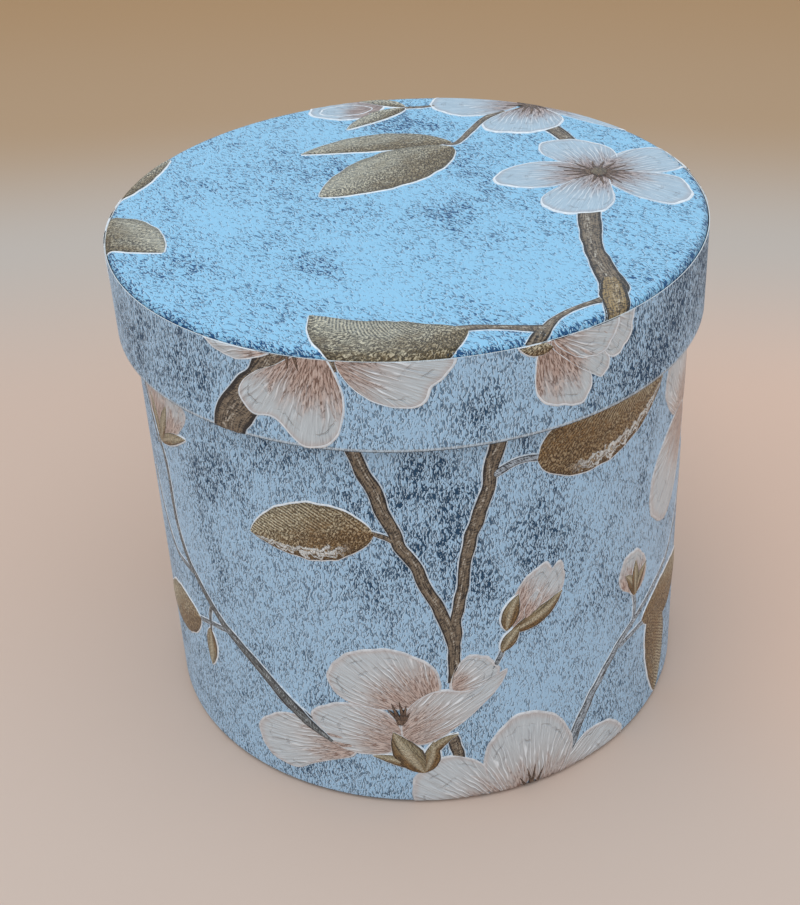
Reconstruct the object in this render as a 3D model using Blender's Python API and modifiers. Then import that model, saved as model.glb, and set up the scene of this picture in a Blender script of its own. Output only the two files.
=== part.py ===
"""A round lidded box of board covered in embossed paper, with a lift-off lid.

The box is a board strip rolled into a tube, with a board floor set inside it. One strip of
embossed paper covers the tube, turns in over the rim and turns under the base in notched tabs.
The lid is a shallow rolled strip with a board top, a round paper cover turned down in notched
tabs, and a paper band that hides the tabs and turns in round the lid's lower edge. Lengths are
in metres, +Z is up, and the origin is the centre of the face that the box stands on.
"""

import math

import bmesh
import bpy
from mathutils import Matrix, Vector

# Driving sizes of the box
BOX_DIAMETER = 0.1330
BOX_HEIGHT = 0.1239
BOX_WALL_THICKNESS = 0.0020
BOX_FLOOR_THICKNESS = 0.0020

# Driving sizes of the lid
LID_HEIGHT = 0.0230
LID_WALL_THICKNESS = 0.0012
LID_TOP_THICKNESS = 0.0020
LID_FIT_CLEARANCE = 0.0002
LID_REST_CLEARANCE = 0.0003

# Papers and the glue line between two glued faces
COVER_PAPER_THICKNESS = 0.0003
LINING_PAPER_THICKNESS = 0.0002
BASE_PAPER_THICKNESS = 0.0003
GLUE_LINE = 0.0003

# The rubbed edges of the boards, and the joint where a rolled strip's ends meet
BOARD_EDGE_RADIUS = 0.0002
LID_TOP_EDGE_RADIUS = 0.0009
EDGE_LIMIT_SHARE = 0.8
BOARD_JOINT_GAP = 0.0003

# How far the papers turn over, lap and stop short of an edge
BOX_TURN_IN = 0.0150
BOX_TAB_LENGTH = 0.0100
LID_TAB_LENGTH = 0.0100
SEAM_LAP = 0.0130
LINING_SETBACK = 0.0040
LINING_STEP = 0.0015
BASE_COVER_SETBACK = 0.0030
BAND_SETBACK = 0.0012
TAB_NOTCH_WIDTH = 0.0030
TAB_NOTCH_SETBACK = 0.0015

# Cutters reach this far past what they cut
OVERRUN = 0.0020

# Counts and angles
FACETS = 72
FOLD_STEPS = 2
TAB_NOTCHES = 32
BOX_SEAM_ANGLE = math.radians(104)
LID_SEAM_ANGLE = math.radians(12)
BOX_BOARD_JOINT_ANGLE = math.radians(62)
LID_BOARD_JOINT_ANGLE = math.radians(142)
SEAM_SINK_SHARE = 0.5
MERGE_DISTANCE = 0.00001
SHARP_ANGLE = math.radians(35)

# Each fold of the paper wraps the rubbed edge of the board inside it
board_edge = min(BOARD_EDGE_RADIUS, LID_WALL_THICKNESS * EDGE_LIMIT_SHARE / 2)
fold_inner = board_edge + GLUE_LINE
fold_outer = fold_inner + COVER_PAPER_THICKNESS
lid_board_edge = min(LID_TOP_EDGE_RADIUS, LID_WALL_THICKNESS * EDGE_LIMIT_SHARE)
lid_fold_inner = lid_board_edge + GLUE_LINE
lid_fold_outer = lid_fold_inner + COVER_PAPER_THICKNESS

# Radii of the box, from outside to inside
box_radius = BOX_DIAMETER / 2
box_wrap_inner = box_radius - COVER_PAPER_THICKNESS
box_wall_outer = box_wrap_inner - GLUE_LINE
box_wall_inner = box_wall_outer - BOX_WALL_THICKNESS
box_turn_in_outer = box_wall_inner - GLUE_LINE
box_turn_in_inner = box_turn_in_outer - COVER_PAPER_THICKNESS
lining_upper_outer = box_turn_in_inner - GLUE_LINE
lining_lower_outer = box_wall_inner - GLUE_LINE
floor_board_radius = box_wall_inner - GLUE_LINE
floor_lining_radius = lining_lower_outer - LINING_PAPER_THICKNESS - GLUE_LINE
base_cover_radius = box_radius - BASE_COVER_SETBACK
box_tab_inner = box_radius - BOX_TAB_LENGTH

# Heights of the box, from the standing face up
box_tab_bottom = BASE_PAPER_THICKNESS + GLUE_LINE
box_tab_top = box_tab_bottom + COVER_PAPER_THICKNESS
board_bottom = box_tab_top + GLUE_LINE
floor_board_top = board_bottom + BOX_FLOOR_THICKNESS
floor_lining_bottom = floor_board_top + GLUE_LINE
box_wrap_rim_inner = BOX_HEIGHT - COVER_PAPER_THICKNESS
box_wall_top = box_wrap_rim_inner - GLUE_LINE
box_turn_in_end = BOX_HEIGHT - BOX_TURN_IN
wall_lining_top = BOX_HEIGHT - LINING_SETBACK
lining_step_bottom = box_turn_in_end - GLUE_LINE - LINING_STEP

# Radii of the lid, from inside to outside
lid_bore_radius = box_radius + COVER_PAPER_THICKNESS + LID_FIT_CLEARANCE
lid_turn_in_outer = lid_bore_radius + COVER_PAPER_THICKNESS
lid_wall_inner = lid_turn_in_outer + GLUE_LINE
lid_wall_outer = lid_wall_inner + LID_WALL_THICKNESS
lid_tab_inner = lid_wall_outer + GLUE_LINE
lid_tab_outer = lid_tab_inner + COVER_PAPER_THICKNESS
lid_band_inner = lid_tab_outer + GLUE_LINE
lid_radius = lid_band_inner + COVER_PAPER_THICKNESS
lid_top_board_radius = lid_wall_inner - GLUE_LINE
lid_lining_radius = lid_bore_radius - GLUE_LINE

# Heights of the lid, from its lining up, and its lower edge
lid_lining_bottom = BOX_HEIGHT + LID_REST_CLEARANCE
lid_lining_top = lid_lining_bottom + LINING_PAPER_THICKNESS
lid_board_bottom = lid_lining_top + GLUE_LINE
lid_board_top = lid_board_bottom + LID_TOP_THICKNESS
lid_cover_bottom = lid_board_top + GLUE_LINE
lid_top = lid_cover_bottom + COVER_PAPER_THICKNESS
lid_edge = lid_top - LID_HEIGHT
lid_band_fold = lid_edge + COVER_PAPER_THICKNESS
lid_wall_bottom = lid_band_fold + GLUE_LINE
lid_band_top = lid_top - BAND_SETBACK
lid_tab_end = lid_top - LID_TAB_LENGTH


def clear_scene():
    """Removes whatever the file starts with."""
    for obj in list(bpy.data.objects):
        bpy.data.objects.remove(obj)


def new_collection(name):
    """A collection linked to the scene."""
    collection = bpy.data.collections.new(name)
    bpy.context.scene.collection.children.link(collection)
    return collection


def new_material(name, colour, roughness):
    """A Principled material; all the papers and boards are non-metallic."""
    material = bpy.data.materials.new(name)
    material.use_nodes = True
    shader = material.node_tree.nodes["Principled BSDF"]
    shader.inputs["Base Color"].default_value = (*colour, 1)
    shader.inputs["Roughness"].default_value = roughness
    shader.inputs["Metallic"].default_value = 0
    return material


def bend(centre, radius, start, end):
    """Points of a fold in the profile plane, from one angle in degrees to another."""
    steps = range(FOLD_STEPS + 1)
    angles = [math.radians(start + (end - start) * step / FOLD_STEPS) for step in steps]
    return [(centre[0] + radius * math.cos(a), centre[1] + radius * math.sin(a)) for a in angles]


def add_object(name, mesh, material, parent):
    """Names a mesh as one sub-part, under the empty of the body that carries it."""
    obj = bpy.data.objects.new(name, mesh)
    collection.objects.link(obj)
    obj.parent = parent
    mesh.materials.append(material)
    return obj


def turned(name, profile, material, parent):
    """A closed profile of (radius, height) points, outer side downwards, turned about +Z."""
    mesh = bpy.data.meshes.new(name)
    base = parent.location.z
    points = [(radius, 0, height - base) for radius, height in profile]
    edges = [(i, (i + 1) % len(points)) for i in range(len(points))]
    if profile[0][0] == 0:
        edges.pop()
    mesh.from_pydata(points, edges, [])
    obj = add_object(name, mesh, material, parent)
    screw = obj.modifiers.new("Turn", "SCREW")
    screw.axis = "Z"
    screw.steps = FACETS
    screw.render_steps = FACETS
    screw.use_merge_vertices = True
    screw.merge_threshold = MERGE_DISTANCE
    screw.use_smooth_shade = True
    return obj


def disc(name, radius, bottom, top, material, parent):
    """A flat round board or paper."""
    mesh = bpy.data.meshes.new(name)
    shape = bmesh.new()
    depth = top - bottom
    bmesh.ops.create_cone(
        shape, cap_ends=True, segments=FACETS, radius1=radius, radius2=radius, depth=depth
    )
    shape.to_mesh(mesh)
    shape.free()
    mesh.shade_smooth()
    mesh.set_sharp_from_angle(angle=SHARP_ANGLE)
    obj = add_object(name, mesh, material, parent)
    obj.location.z = bottom + depth / 2 - parent.location.z
    return obj


def add_helper(name, mesh, parent):
    """A shape that only cuts or joins another, so it is never drawn."""
    obj = bpy.data.objects.new(name, mesh)
    helpers.objects.link(obj)
    obj.parent = parent
    obj.hide_render = True
    obj.display_type = "WIRE"
    return obj


def turn(angle, point):
    """A point turned about +Z."""
    return Matrix.Rotation(angle, 3, "Z") @ Vector(point)


def add_boolean(obj, other, operation):
    """Cuts another shape out of an object, or joins it on."""
    boolean = obj.modifiers.new(operation.title(), "BOOLEAN")
    boolean.operation = operation
    boolean.object = other


def notch_wedges(name, placements, parent):
    """Triangular prisms, each built from a base edge, an apex and a depth vector."""
    mesh = bpy.data.meshes.new(name)
    shape = bmesh.new()
    for left, right, apex, depth in placements:
        corners = [shape.verts.new(point) for point in (left, right, apex)]
        face = shape.faces.new(corners)
        made = bmesh.ops.extrude_face_region(shape, geom=[face])["geom"]
        moved = [item for item in made if isinstance(item, bmesh.types.BMVert)]
        bmesh.ops.translate(shape, verts=moved, vec=depth)
    bmesh.ops.recalc_face_normals(shape, faces=shape.faces[:])
    shape.to_mesh(mesh)
    shape.free()
    return add_helper(name, mesh, parent)


def board_joint(name, inner, outer, bottom, top, angle, parent):
    """The thin gap where the two ends of a rolled board strip meet."""
    mesh = bpy.data.meshes.new(name)
    shape = bmesh.new()
    bmesh.ops.create_cube(shape, size=1)
    size = (outer - inner + OVERRUN, BOARD_JOINT_GAP, top - bottom + OVERRUN)
    bmesh.ops.scale(shape, vec=size, verts=shape.verts[:])
    shape.to_mesh(mesh)
    shape.free()
    cutter = add_helper(name, mesh, parent)
    height = (bottom + top) / 2 - parent.location.z
    cutter.location = turn(angle, ((inner + outer) / 2, 0, height))
    cutter.rotation_euler.z = angle
    return cutter


def seam_strip(name, radius, bottom, top, start, parent):
    """The lapped end of a paper strip: a curved sheet sunk into the paper below it."""
    lap_angle = SEAM_LAP / radius
    steps = max(1, round(lap_angle * FACETS / math.tau))
    inner = radius - COVER_PAPER_THICKNESS * SEAM_SINK_SHARE
    base = parent.location.z
    mesh = bpy.data.meshes.new(name)
    shape = bmesh.new()
    columns = []
    for step in range(steps + 1):
        angle = start + lap_angle * step / steps
        spot = turn(angle, (inner, 0, 0))
        low = shape.verts.new((spot.x, spot.y, bottom - base))
        high = shape.verts.new((spot.x, spot.y, top - base))
        columns.append((low, high))
    for (low, high), (next_low, next_high) in zip(columns, columns[1:]):
        shape.faces.new((low, next_low, next_high, high))
    shape.to_mesh(mesh)
    shape.free()
    obj = add_helper(name, mesh, parent)
    solidify = obj.modifiers.new("Paper", "SOLIDIFY")
    solidify.thickness = COVER_PAPER_THICKNESS * (1 + SEAM_SINK_SHARE)
    solidify.offset = 1
    solidify.use_even_offset = True
    return obj


def base_notches(parent):
    """V cuts that let the tabs under the base lie flat."""
    inner = box_tab_inner - OVERRUN
    apex = box_radius - fold_outer - TAB_NOTCH_SETBACK
    half = TAB_NOTCH_WIDTH / 2
    low = box_tab_bottom - OVERRUN
    depth = Vector((0, 0, box_tab_top + OVERRUN - low))
    placements = []
    for number in range(TAB_NOTCHES):
        angle = math.tau * (number + 0.5) / TAB_NOTCHES
        left = turn(angle, (inner, -half, low))
        right = turn(angle, (inner, half, low))
        placements.append((left, right, turn(angle, (apex, 0, low)), depth))
    return notch_wedges("base_tab_notches", placements, parent)


def lid_notches(parent):
    """V cuts that let the cover's tabs lie against the lid's wall."""
    base = parent.location.z
    end = lid_tab_end - OVERRUN - base
    apex = lid_top - lid_fold_outer - TAB_NOTCH_SETBACK - base
    half = TAB_NOTCH_WIDTH / 2
    inner = lid_wall_outer
    reach = lid_radius - inner
    placements = []
    for number in range(TAB_NOTCHES):
        angle = math.tau * (number + 0.5) / TAB_NOTCHES
        left = turn(angle, (inner, -half, end))
        right = turn(angle, (inner, half, end))
        depth = turn(angle, (reach, 0, 0))
        placements.append((left, right, turn(angle, (inner, 0, apex)), depth))
    return notch_wedges("lid_tab_notches", placements, parent)


def box_wall_profile():
    """A board tube with its cut edges rubbed round."""
    outer = box_wall_outer - board_edge
    inner = box_wall_inner + board_edge
    top = box_wall_top - board_edge
    bottom = board_bottom + board_edge
    return [
        *bend((outer, top), board_edge, 90, 0),
        *bend((outer, bottom), board_edge, 0, -90),
        (box_wall_inner, board_bottom),
        *bend((inner, top), board_edge, 180, 90),
    ]


def box_wrap_profile():
    """The paper's outer face down, its tab under the base, and back up and over the rim."""
    top_out = (box_radius - fold_outer, BOX_HEIGHT - fold_outer)
    top_in = (box_turn_in_inner + fold_outer, BOX_HEIGHT - fold_outer)
    foot = (box_radius - fold_outer, box_tab_bottom + fold_outer)
    return [
        *bend(top_out, fold_outer, 90, 0),
        *bend(foot, fold_outer, 0, -90),
        (box_tab_inner, box_tab_bottom),
        (box_tab_inner, box_tab_top),
        *bend(foot, fold_inner, -90, 0),
        *bend(top_out, fold_inner, 0, 90),
        *bend(top_in, fold_inner, 90, 180),
        (box_turn_in_outer, box_turn_in_end),
        (box_turn_in_inner, box_turn_in_end),
        *bend(top_in, fold_outer, 180, 90),
    ]


def wall_lining_profile():
    """Close to the wall below, stepping inwards over the paper turned in at the rim."""
    upper_inner = lining_upper_outer - LINING_PAPER_THICKNESS
    lower_inner = lining_lower_outer - LINING_PAPER_THICKNESS
    step_top = lining_step_bottom + LINING_STEP
    return [
        (lining_upper_outer, wall_lining_top),
        (lining_upper_outer, step_top),
        (lining_lower_outer, lining_step_bottom),
        (lining_lower_outer, floor_lining_bottom),
        (lower_inner, floor_lining_bottom),
        (lower_inner, lining_step_bottom),
        (upper_inner, step_top),
        (upper_inner, wall_lining_top),
    ]


def lid_wall_profile():
    """A board ring whose upper outer edge is rubbed well round, and its lower ones a little."""
    top = (lid_wall_outer - lid_board_edge, lid_board_top - lid_board_edge)
    outer = (lid_wall_outer - board_edge, lid_wall_bottom + board_edge)
    inner = (lid_wall_inner + board_edge, lid_wall_bottom + board_edge)
    return [
        (lid_wall_inner, lid_board_top),
        *bend(top, lid_board_edge, 90, 0),
        *bend(outer, board_edge, 0, -90),
        *bend(inner, board_edge, -90, -180),
    ]


def lid_cover_profile():
    """From the axis out over the top, round the edge and down in the tabs, and back."""
    centre = (lid_tab_outer - lid_fold_outer, lid_top - lid_fold_outer)
    return [
        (0, lid_top),
        *bend(centre, lid_fold_outer, 90, 0),
        (lid_tab_outer, lid_tab_end),
        (lid_tab_inner, lid_tab_end),
        *bend(centre, lid_fold_inner, 0, 90),
        (0, lid_cover_bottom),
    ]


def lid_band_profile():
    """The band's outer face down, round the lower edge and up inside to the lining."""
    outer = (lid_radius - fold_outer, lid_edge + fold_outer)
    inner = (lid_bore_radius + fold_outer, lid_edge + fold_outer)
    return [
        (lid_radius, lid_band_top),
        *bend(outer, fold_outer, 0, -90),
        *bend(inner, fold_outer, -90, -180),
        (lid_bore_radius, lid_lining_top),
        (lid_turn_in_outer, lid_lining_top),
        *bend(inner, fold_inner, -180, -90),
        *bend(outer, fold_inner, -90, 0),
        (lid_band_inner, lid_band_top),
    ]


def build_box(parent):
    """The six pieces that stay put."""
    wall = turned("box_wall_board", box_wall_profile(), board, parent)
    joint = board_joint(
        "box_board_joint",
        box_wall_inner,
        box_wall_outer,
        board_bottom,
        box_wall_top,
        BOX_BOARD_JOINT_ANGLE,
        parent,
    )
    add_boolean(wall, joint, "DIFFERENCE")
    disc("box_floor_board", floor_board_radius, board_bottom, floor_board_top, board, parent)

    wrap = turned("box_outer_wrap", box_wrap_profile(), cover_paper, parent)
    add_boolean(wrap, base_notches(parent), "DIFFERENCE")
    strip_bottom = box_tab_bottom + fold_outer
    strip_top = BOX_HEIGHT - fold_outer
    strip = seam_strip("box_seam", box_radius, strip_bottom, strip_top, BOX_SEAM_ANGLE, parent)
    add_boolean(wrap, strip, "UNION")

    turned("box_wall_lining", wall_lining_profile(), lining_paper, parent)
    lining_top = floor_lining_bottom + LINING_PAPER_THICKNESS
    radius = floor_lining_radius
    disc("box_floor_lining", radius, floor_lining_bottom, lining_top, lining_paper, parent)
    disc("box_base_cover", base_cover_radius, 0, BASE_PAPER_THICKNESS, base_paper, parent)


def build_lid(parent):
    """The five pieces that lift off together."""
    wall = turned("lid_wall_board", lid_wall_profile(), board, parent)
    joint = board_joint(
        "lid_board_joint",
        lid_wall_inner,
        lid_wall_outer,
        lid_wall_bottom,
        lid_board_top,
        LID_BOARD_JOINT_ANGLE,
        parent,
    )
    add_boolean(wall, joint, "DIFFERENCE")
    radius = lid_top_board_radius
    disc("lid_top_board", radius, lid_board_bottom, lid_board_top, board, parent)

    cover = turned("lid_top_cover", lid_cover_profile(), cover_paper, parent)
    add_boolean(cover, lid_notches(parent), "DIFFERENCE")

    band = turned("lid_band_wrap", lid_band_profile(), cover_paper, parent)
    strip_bottom = lid_edge + fold_outer
    strip = seam_strip("lid_seam", lid_radius, strip_bottom, lid_band_top, LID_SEAM_ANGLE, parent)
    add_boolean(band, strip, "UNION")
    radius = lid_lining_radius
    disc("lid_top_lining", radius, lid_lining_bottom, lid_lining_top, lining_paper, parent)


def add_body(name, height):
    """An empty on the box's axis that carries the pieces of one body."""
    empty = bpy.data.objects.new(name, None)
    empty.location = (0, 0, height)
    collection.objects.link(empty)
    return empty


clear_scene()
collection = new_collection("lidded_box")
helpers = new_collection("cutters_and_joins")
cover_paper = new_material("embossed_paper", (0.21, 0.38, 0.58), 0.45)
lining_paper = new_material("lining_paper", (0.80, 0.77, 0.70), 0.85)
base_paper = new_material("base_paper", (0.72, 0.69, 0.63), 0.85)
board = new_material("greyboard", (0.36, 0.32, 0.27), 0.95)
build_box(add_body("box", 0))
build_lid(add_body("lid", lid_edge))
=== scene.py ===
"""Looks of a round lidded box covered in embossed paper with flowering branches.

The boards come from the frame. The papers are modelled again as smooth thin sheets that follow
the same folds, and the printed flowers, leaves and branches are raised shapes laid on them.
Flat shapes are drawn in millimetres: across and up on the walls, x and y on the lid's top.
"""

import math
import random

import bmesh
import bpy
import numpy as np
from mathutils import Matrix, Vector


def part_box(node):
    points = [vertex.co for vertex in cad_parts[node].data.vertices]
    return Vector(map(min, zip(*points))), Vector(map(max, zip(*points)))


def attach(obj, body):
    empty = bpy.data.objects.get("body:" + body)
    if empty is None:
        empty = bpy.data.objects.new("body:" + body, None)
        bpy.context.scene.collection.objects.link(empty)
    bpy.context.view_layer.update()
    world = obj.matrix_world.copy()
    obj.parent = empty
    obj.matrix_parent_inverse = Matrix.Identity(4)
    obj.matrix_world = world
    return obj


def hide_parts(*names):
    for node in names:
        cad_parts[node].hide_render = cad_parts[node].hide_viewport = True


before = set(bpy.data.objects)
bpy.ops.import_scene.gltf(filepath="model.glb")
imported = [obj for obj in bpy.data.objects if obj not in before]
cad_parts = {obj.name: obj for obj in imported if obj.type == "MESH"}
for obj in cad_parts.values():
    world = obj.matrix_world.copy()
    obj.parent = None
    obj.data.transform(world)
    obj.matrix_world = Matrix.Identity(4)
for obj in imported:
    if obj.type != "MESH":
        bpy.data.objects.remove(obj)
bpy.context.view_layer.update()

MM = 0.001

# Papers and boards, in millimetres, and where the wraps' ends lie round the box and the lid
PAPER = 0.3
LINING = 0.2
GLUE = 0.3
BOARD = 2.0
FOLD = 0.8
LID_FOLD = 1.5
LAP = 13.0
RAW_EDGE = 0.2
LID_CLEARANCE = 0.5
BOX_TAB = 10.0
BOX_TURN_IN = 15.0
BOX_SEAM = math.radians(104 + 90)
LID_SEAM = math.radians(12 + 90)

# What only this scene's sheets have, in millimetres: how softly they step over what lies under
# them, and how far the lid's paper stands out past the frame's
LAP_RAMP = 3.0
LINING_STEP = 1.8
COVER_SWELL = 0.2

# Mesh counts
COLUMNS = 360
FOLD_STEPS = 6
WALL_STEP = 1.5
SEAM_GAP = 0.0000001
SHEET_SHARP = math.radians(40)
PRINT_SHARP = math.radians(65)

# The photograph's camera, fitted to the outlines of the lid and the box
CAMERA_BACK = 0.3355
CAMERA_HEIGHT = 0.2811
CAMERA_YAW = math.radians(-0.758)
CAMERA_PITCH = math.radians(33.58)
CAMERA_ROLL = math.radians(-3.186)
CAMERA_LENS = 62.11


def corners(node):
    """A node's lowest and highest corner in millimetres."""
    low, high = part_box(node)
    return low / MM, high / MM


wrap_low, wrap_high = corners("box_outer_wrap")
band_low, band_high = corners("lid_band_wrap")
cover_low, cover_high = corners("lid_top_cover")
lining_low, lining_high = corners("box_wall_lining")
top_lining_high = corners("lid_top_lining")[1]
board_high = corners("box_wall_board")[1]

BOX_RADIUS = wrap_high.x
LID_RADIUS = band_high.x
COVER_RADIUS = cover_high.x + COVER_SWELL
BAND_INNER = BOX_RADIUS + LID_CLEARANCE
BOX_RIM_INNER = board_high.x - BOARD - GLUE - PAPER


def arc(centre, radius, start, end):
    """Points of a fold in section, from one angle in degrees to another."""
    angles = np.radians(np.linspace(start, end, FOLD_STEPS + 1))
    return [(centre[0] + radius * math.cos(a), centre[1] + radius * math.sin(a)) for a in angles]


def densify(points):
    """Adds points along the straight runs of a section, so that none is longer than a step."""
    dense = [points[0]]
    for start, end in zip(points, points[1:]):
        count = max(1, math.ceil(math.dist(start, end) / WALL_STEP))
        for step in range(1, count + 1):
            dense.append(tuple(a + (b - a) * step / count for a, b in zip(start, end)))
    return np.array(dense)


def lengths(rows):
    """How long each row of an array is, as a vector."""
    return np.linalg.norm(rows, axis=1)


def walked(points):
    """The distance walked from the first point to each one."""
    return np.concatenate([[0], np.cumsum(lengths(np.diff(points, axis=0)))])


class Section:
    """A paper's outer face in section, walked by arc length in millimetres."""

    def __init__(self, points, walk_is_height_at=None, side=1):
        self.points = densify(points)
        self.walk = walked(self.points)
        self.radius = self.points[:, 0].max()
        if walk_is_height_at is not None:
            outside = self.points[:, 0] >= self.radius - 0.01
            away = np.where(outside, np.abs(self.points[:, 1] - walk_is_height_at), np.inf)
            index = int(np.argmin(away))
            self.walk += self.points[index, 1] - self.walk[index]
        along = np.gradient(self.points, self.walk, axis=0)
        self.normal = np.stack([along[:, 1], -along[:, 0]], axis=1) * side
        self.normal /= lengths(self.normal)[:, None]

    def at(self, walk, lift):
        """Radius and height of points that stand off the face by lift."""
        def read(rows, i):
            return np.interp(walk, self.walk, rows[:, i])

        walk = np.clip(walk, self.walk[0], self.walk[-1])
        return [read(self.points, i) + read(self.normal, i) * lift for i in (0, 1)]


def box_section():
    """Out under the base, up the wall, over the rim and down inside."""
    low, top = wrap_low.z, wrap_high.z
    return Section([
        (BOX_RADIUS - BOX_TAB, low),
        *arc((BOX_RADIUS - FOLD, low + FOLD), FOLD, -90, 0),
        *arc((BOX_RADIUS - FOLD, top - FOLD), FOLD, 0, 90),
        *arc((BOX_RIM_INNER + FOLD, top - FOLD), FOLD, 90, 180),
        (BOX_RIM_INNER, top - BOX_TURN_IN),
    ], walk_is_height_at=low + FOLD)


def band_section():
    """Down inside the lid, round its lower edge and up to the raw upper edge."""
    low, top = band_low.z, band_high.z
    return Section([
        (BAND_INNER, top_lining_high.z),
        *arc((BAND_INNER + FOLD, low + FOLD), FOLD, 180, 270),
        *arc((LID_RADIUS - FOLD, low + FOLD), FOLD, -90, 0),
        (LID_RADIUS, top),
    ], walk_is_height_at=low + FOLD)


def cover_section():
    """From the lid's centre out to the corner, round it and down inside the band."""
    top = cover_high.z
    return Section([
        (0, top),
        *reversed(arc((COVER_RADIUS - LID_FOLD, top - LID_FOLD), LID_FOLD, 0, 90)),
        (COVER_RADIUS, cover_low.z),
    ], side=-1)


def lap_lift(turned, walk, section_low, section_high, radius):
    """How far a lapped strip's upper layer stands off, by angle past its visible end."""
    over = np.clip(((LAP + LAP_RAMP) / radius - turned) * radius / LAP_RAMP, 0, 1)
    fade_low = np.clip((walk - section_low) / WALL_STEP, 0, 1)
    fade_high = np.clip((section_high - walk) / WALL_STEP, 0, 1)
    return PAPER * over * fade_low * fade_high


class Wall:
    """Lays flat (across, up, lift) points on a turned wall; across 0 is the photographed side.

    seam is the angle of the wrap's visible end, and lapped the walks between which it overlaps.
    """

    def __init__(self, section, radius, seam=0.0, lapped=None):
        self.section = section
        self.radius = radius
        self.seam = seam
        self.lapped = lapped

    def lay(self, flat):
        angle = flat[:, 0] / self.radius
        walk, lift = flat[:, 1], flat[:, 2]
        if self.lapped:
            lift = lift + lap_lift((angle - self.seam) % math.tau, walk, *self.lapped, self.radius)
        radius, height = self.section.at(walk, lift)
        return np.stack([radius * np.sin(angle), -radius * np.cos(angle), height], axis=1)


class Top:
    """Lays flat (x, y, lift) points on the lid's top and over its corner."""

    seam = 0.0
    lapped = None

    def __init__(self, section):
        self.section = section

    def lay(self, flat):
        reach = np.hypot(flat[:, 0], flat[:, 1])
        radius, height = self.section.at(reach, flat[:, 2])
        away = flat[:, :2] / np.maximum(reach, 1e-9)[:, None]
        return np.column_stack([away * radius[:, None], height])


box_wall = Wall(box_section(), BOX_RADIUS, BOX_SEAM, (wrap_low.z + FOLD, wrap_high.z - FOLD))
band_wall = Wall(band_section(), LID_RADIUS, LID_SEAM, (band_low.z + FOLD, band_high.z + WALL_STEP))
lid_face = Top(cover_section())


# Node helpers for the materials


def arithmetic(operation):
    """An operator that writes a math node."""
    return lambda a, b: a.nodes.math(operation, a, b)


class Value:
    """What a node puts out; it takes plain arithmetic."""

    def __init__(self, nodes, socket):
        self.nodes = nodes
        self.socket = socket

    __add__ = arithmetic("ADD")
    __sub__ = arithmetic("SUBTRACT")
    __mul__ = arithmetic("MULTIPLY")
    __truediv__ = arithmetic("DIVIDE")

    def __rsub__(self, other):
        return self.nodes.math("SUBTRACT", other, self)

    def __abs__(self):
        return self.nodes.math("ABSOLUTE", self)


class Nodes:
    """Writes a material's nodes with short calls."""

    def __init__(self, name):
        self.material = bpy.data.materials.new(name)
        self.material.use_nodes = True
        self.tree = self.material.node_tree

    def fill(self, node, inputs):
        """Joins values to a node's inputs, and sets the constant ones there."""
        for key, value in inputs.items():
            if isinstance(value, Value):
                self.tree.links.new(value.socket, node.inputs[key])
            else:
                node.inputs[key].default_value = value

    def node(self, kind, inputs, output=0, **settings):
        """One output of a new node with these settings and inputs."""
        node = self.tree.nodes.new("ShaderNode" + kind)
        for name, setting in settings.items():
            setattr(node, name, setting)
        self.fill(node, inputs)
        return Value(self, node.outputs[output])

    def math(self, operation, *values):
        return self.node("Math", dict(enumerate(values)), operation=operation)

    def uv(self, name):
        return self.node("UVMap", {}, uv_map=name)

    def position(self):
        return self.node("TexCoord", {}, "Object")

    def look(self):
        """A print's own numbers: its tone, how strongly a painted glint lines its lower edge, and how plain
        it is.
        """
        return self.split(self.node("Attribute", {}, "Vector", attribute_name="look"))

    def split(self, vector):
        first = self.node("SeparateXYZ", {0: vector})
        return [Value(self, socket) for socket in first.socket.node.outputs]

    def distance(self, vector, point):
        return self.node("VectorMath", {0: vector, 1: point}, "Value", operation="DISTANCE")

    def noise(self, vector, size, detail=2.0, rough=0.5, distort=0.0, turn=0.0, move=(0, 0, 0)):
        """Noise whose cells have a given size, along axes turned by an angle."""
        size = size if len(size) == 3 else (*size, 1)
        place = {"Vector": vector, "Scale": size, "Rotation": (0, 0, turn), "Location": move}
        cells = self.node("Mapping", place, vector_type="TEXTURE")
        grain = {"Scale": 1.0, "Detail": detail, "Roughness": rough, "Distortion": distort}
        return self.node("TexNoise", {"Vector": cells, **grain}, "Fac")

    def smooth(self, value, low, high):
        """0 below low, 1 above high, smooth between; falls if low is above high."""
        rises = float(low < high)
        ends = {"From Min": min(low, high), "From Max": max(low, high), "To Min": 1 - rises, "To Max": rises}
        return self.node("MapRange", {"Value": value, **ends}, interpolation_type="SMOOTHSTEP")

    def ridged(self, value, level, half_width):
        """1 along the lines where a noise crosses a level, 0 away from them."""
        return self.smooth(abs(value - level), half_width, half_width * 0.3)

    def mix(self, share, a, b):
        return self.node("Mix", {0: share, 6: colour(a), 7: colour(b)}, 2, data_type="RGBA")

    def layered(self, face, *layers):
        """A colour with others laid over it in turn, each given as its share and its colour."""
        for share, over in layers:
            face = self.mix(share, face, over)
        return face

    def bump(self, height, distance):
        return self.node("Bump", {"Height": height, "Distance": distance, "Strength": 1.0})

    def finish(self, base, roughness, normal, specular=0.5, metallic=0.0):
        inputs = {"Base Color": colour(base), "Roughness": roughness, "Specular IOR Level": specular}
        inputs["Metallic"] = metallic
        if normal:
            inputs["Normal"] = normal
        self.fill(self.tree.nodes["Principled BSDF"], inputs)
        return self.material


def linear(value):
    """One sRGB channel from 0 to 255 as a linear value."""
    value /= 255
    return value / 12.92 if value <= 0.04045 else ((value + 0.055) / 1.055) ** 2.4


def colour(value):
    """A node's value as it is, or an sRGB colour written from 0 to 255."""
    if isinstance(value, tuple):
        return (*map(linear, value), 1.0)
    return value


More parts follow.
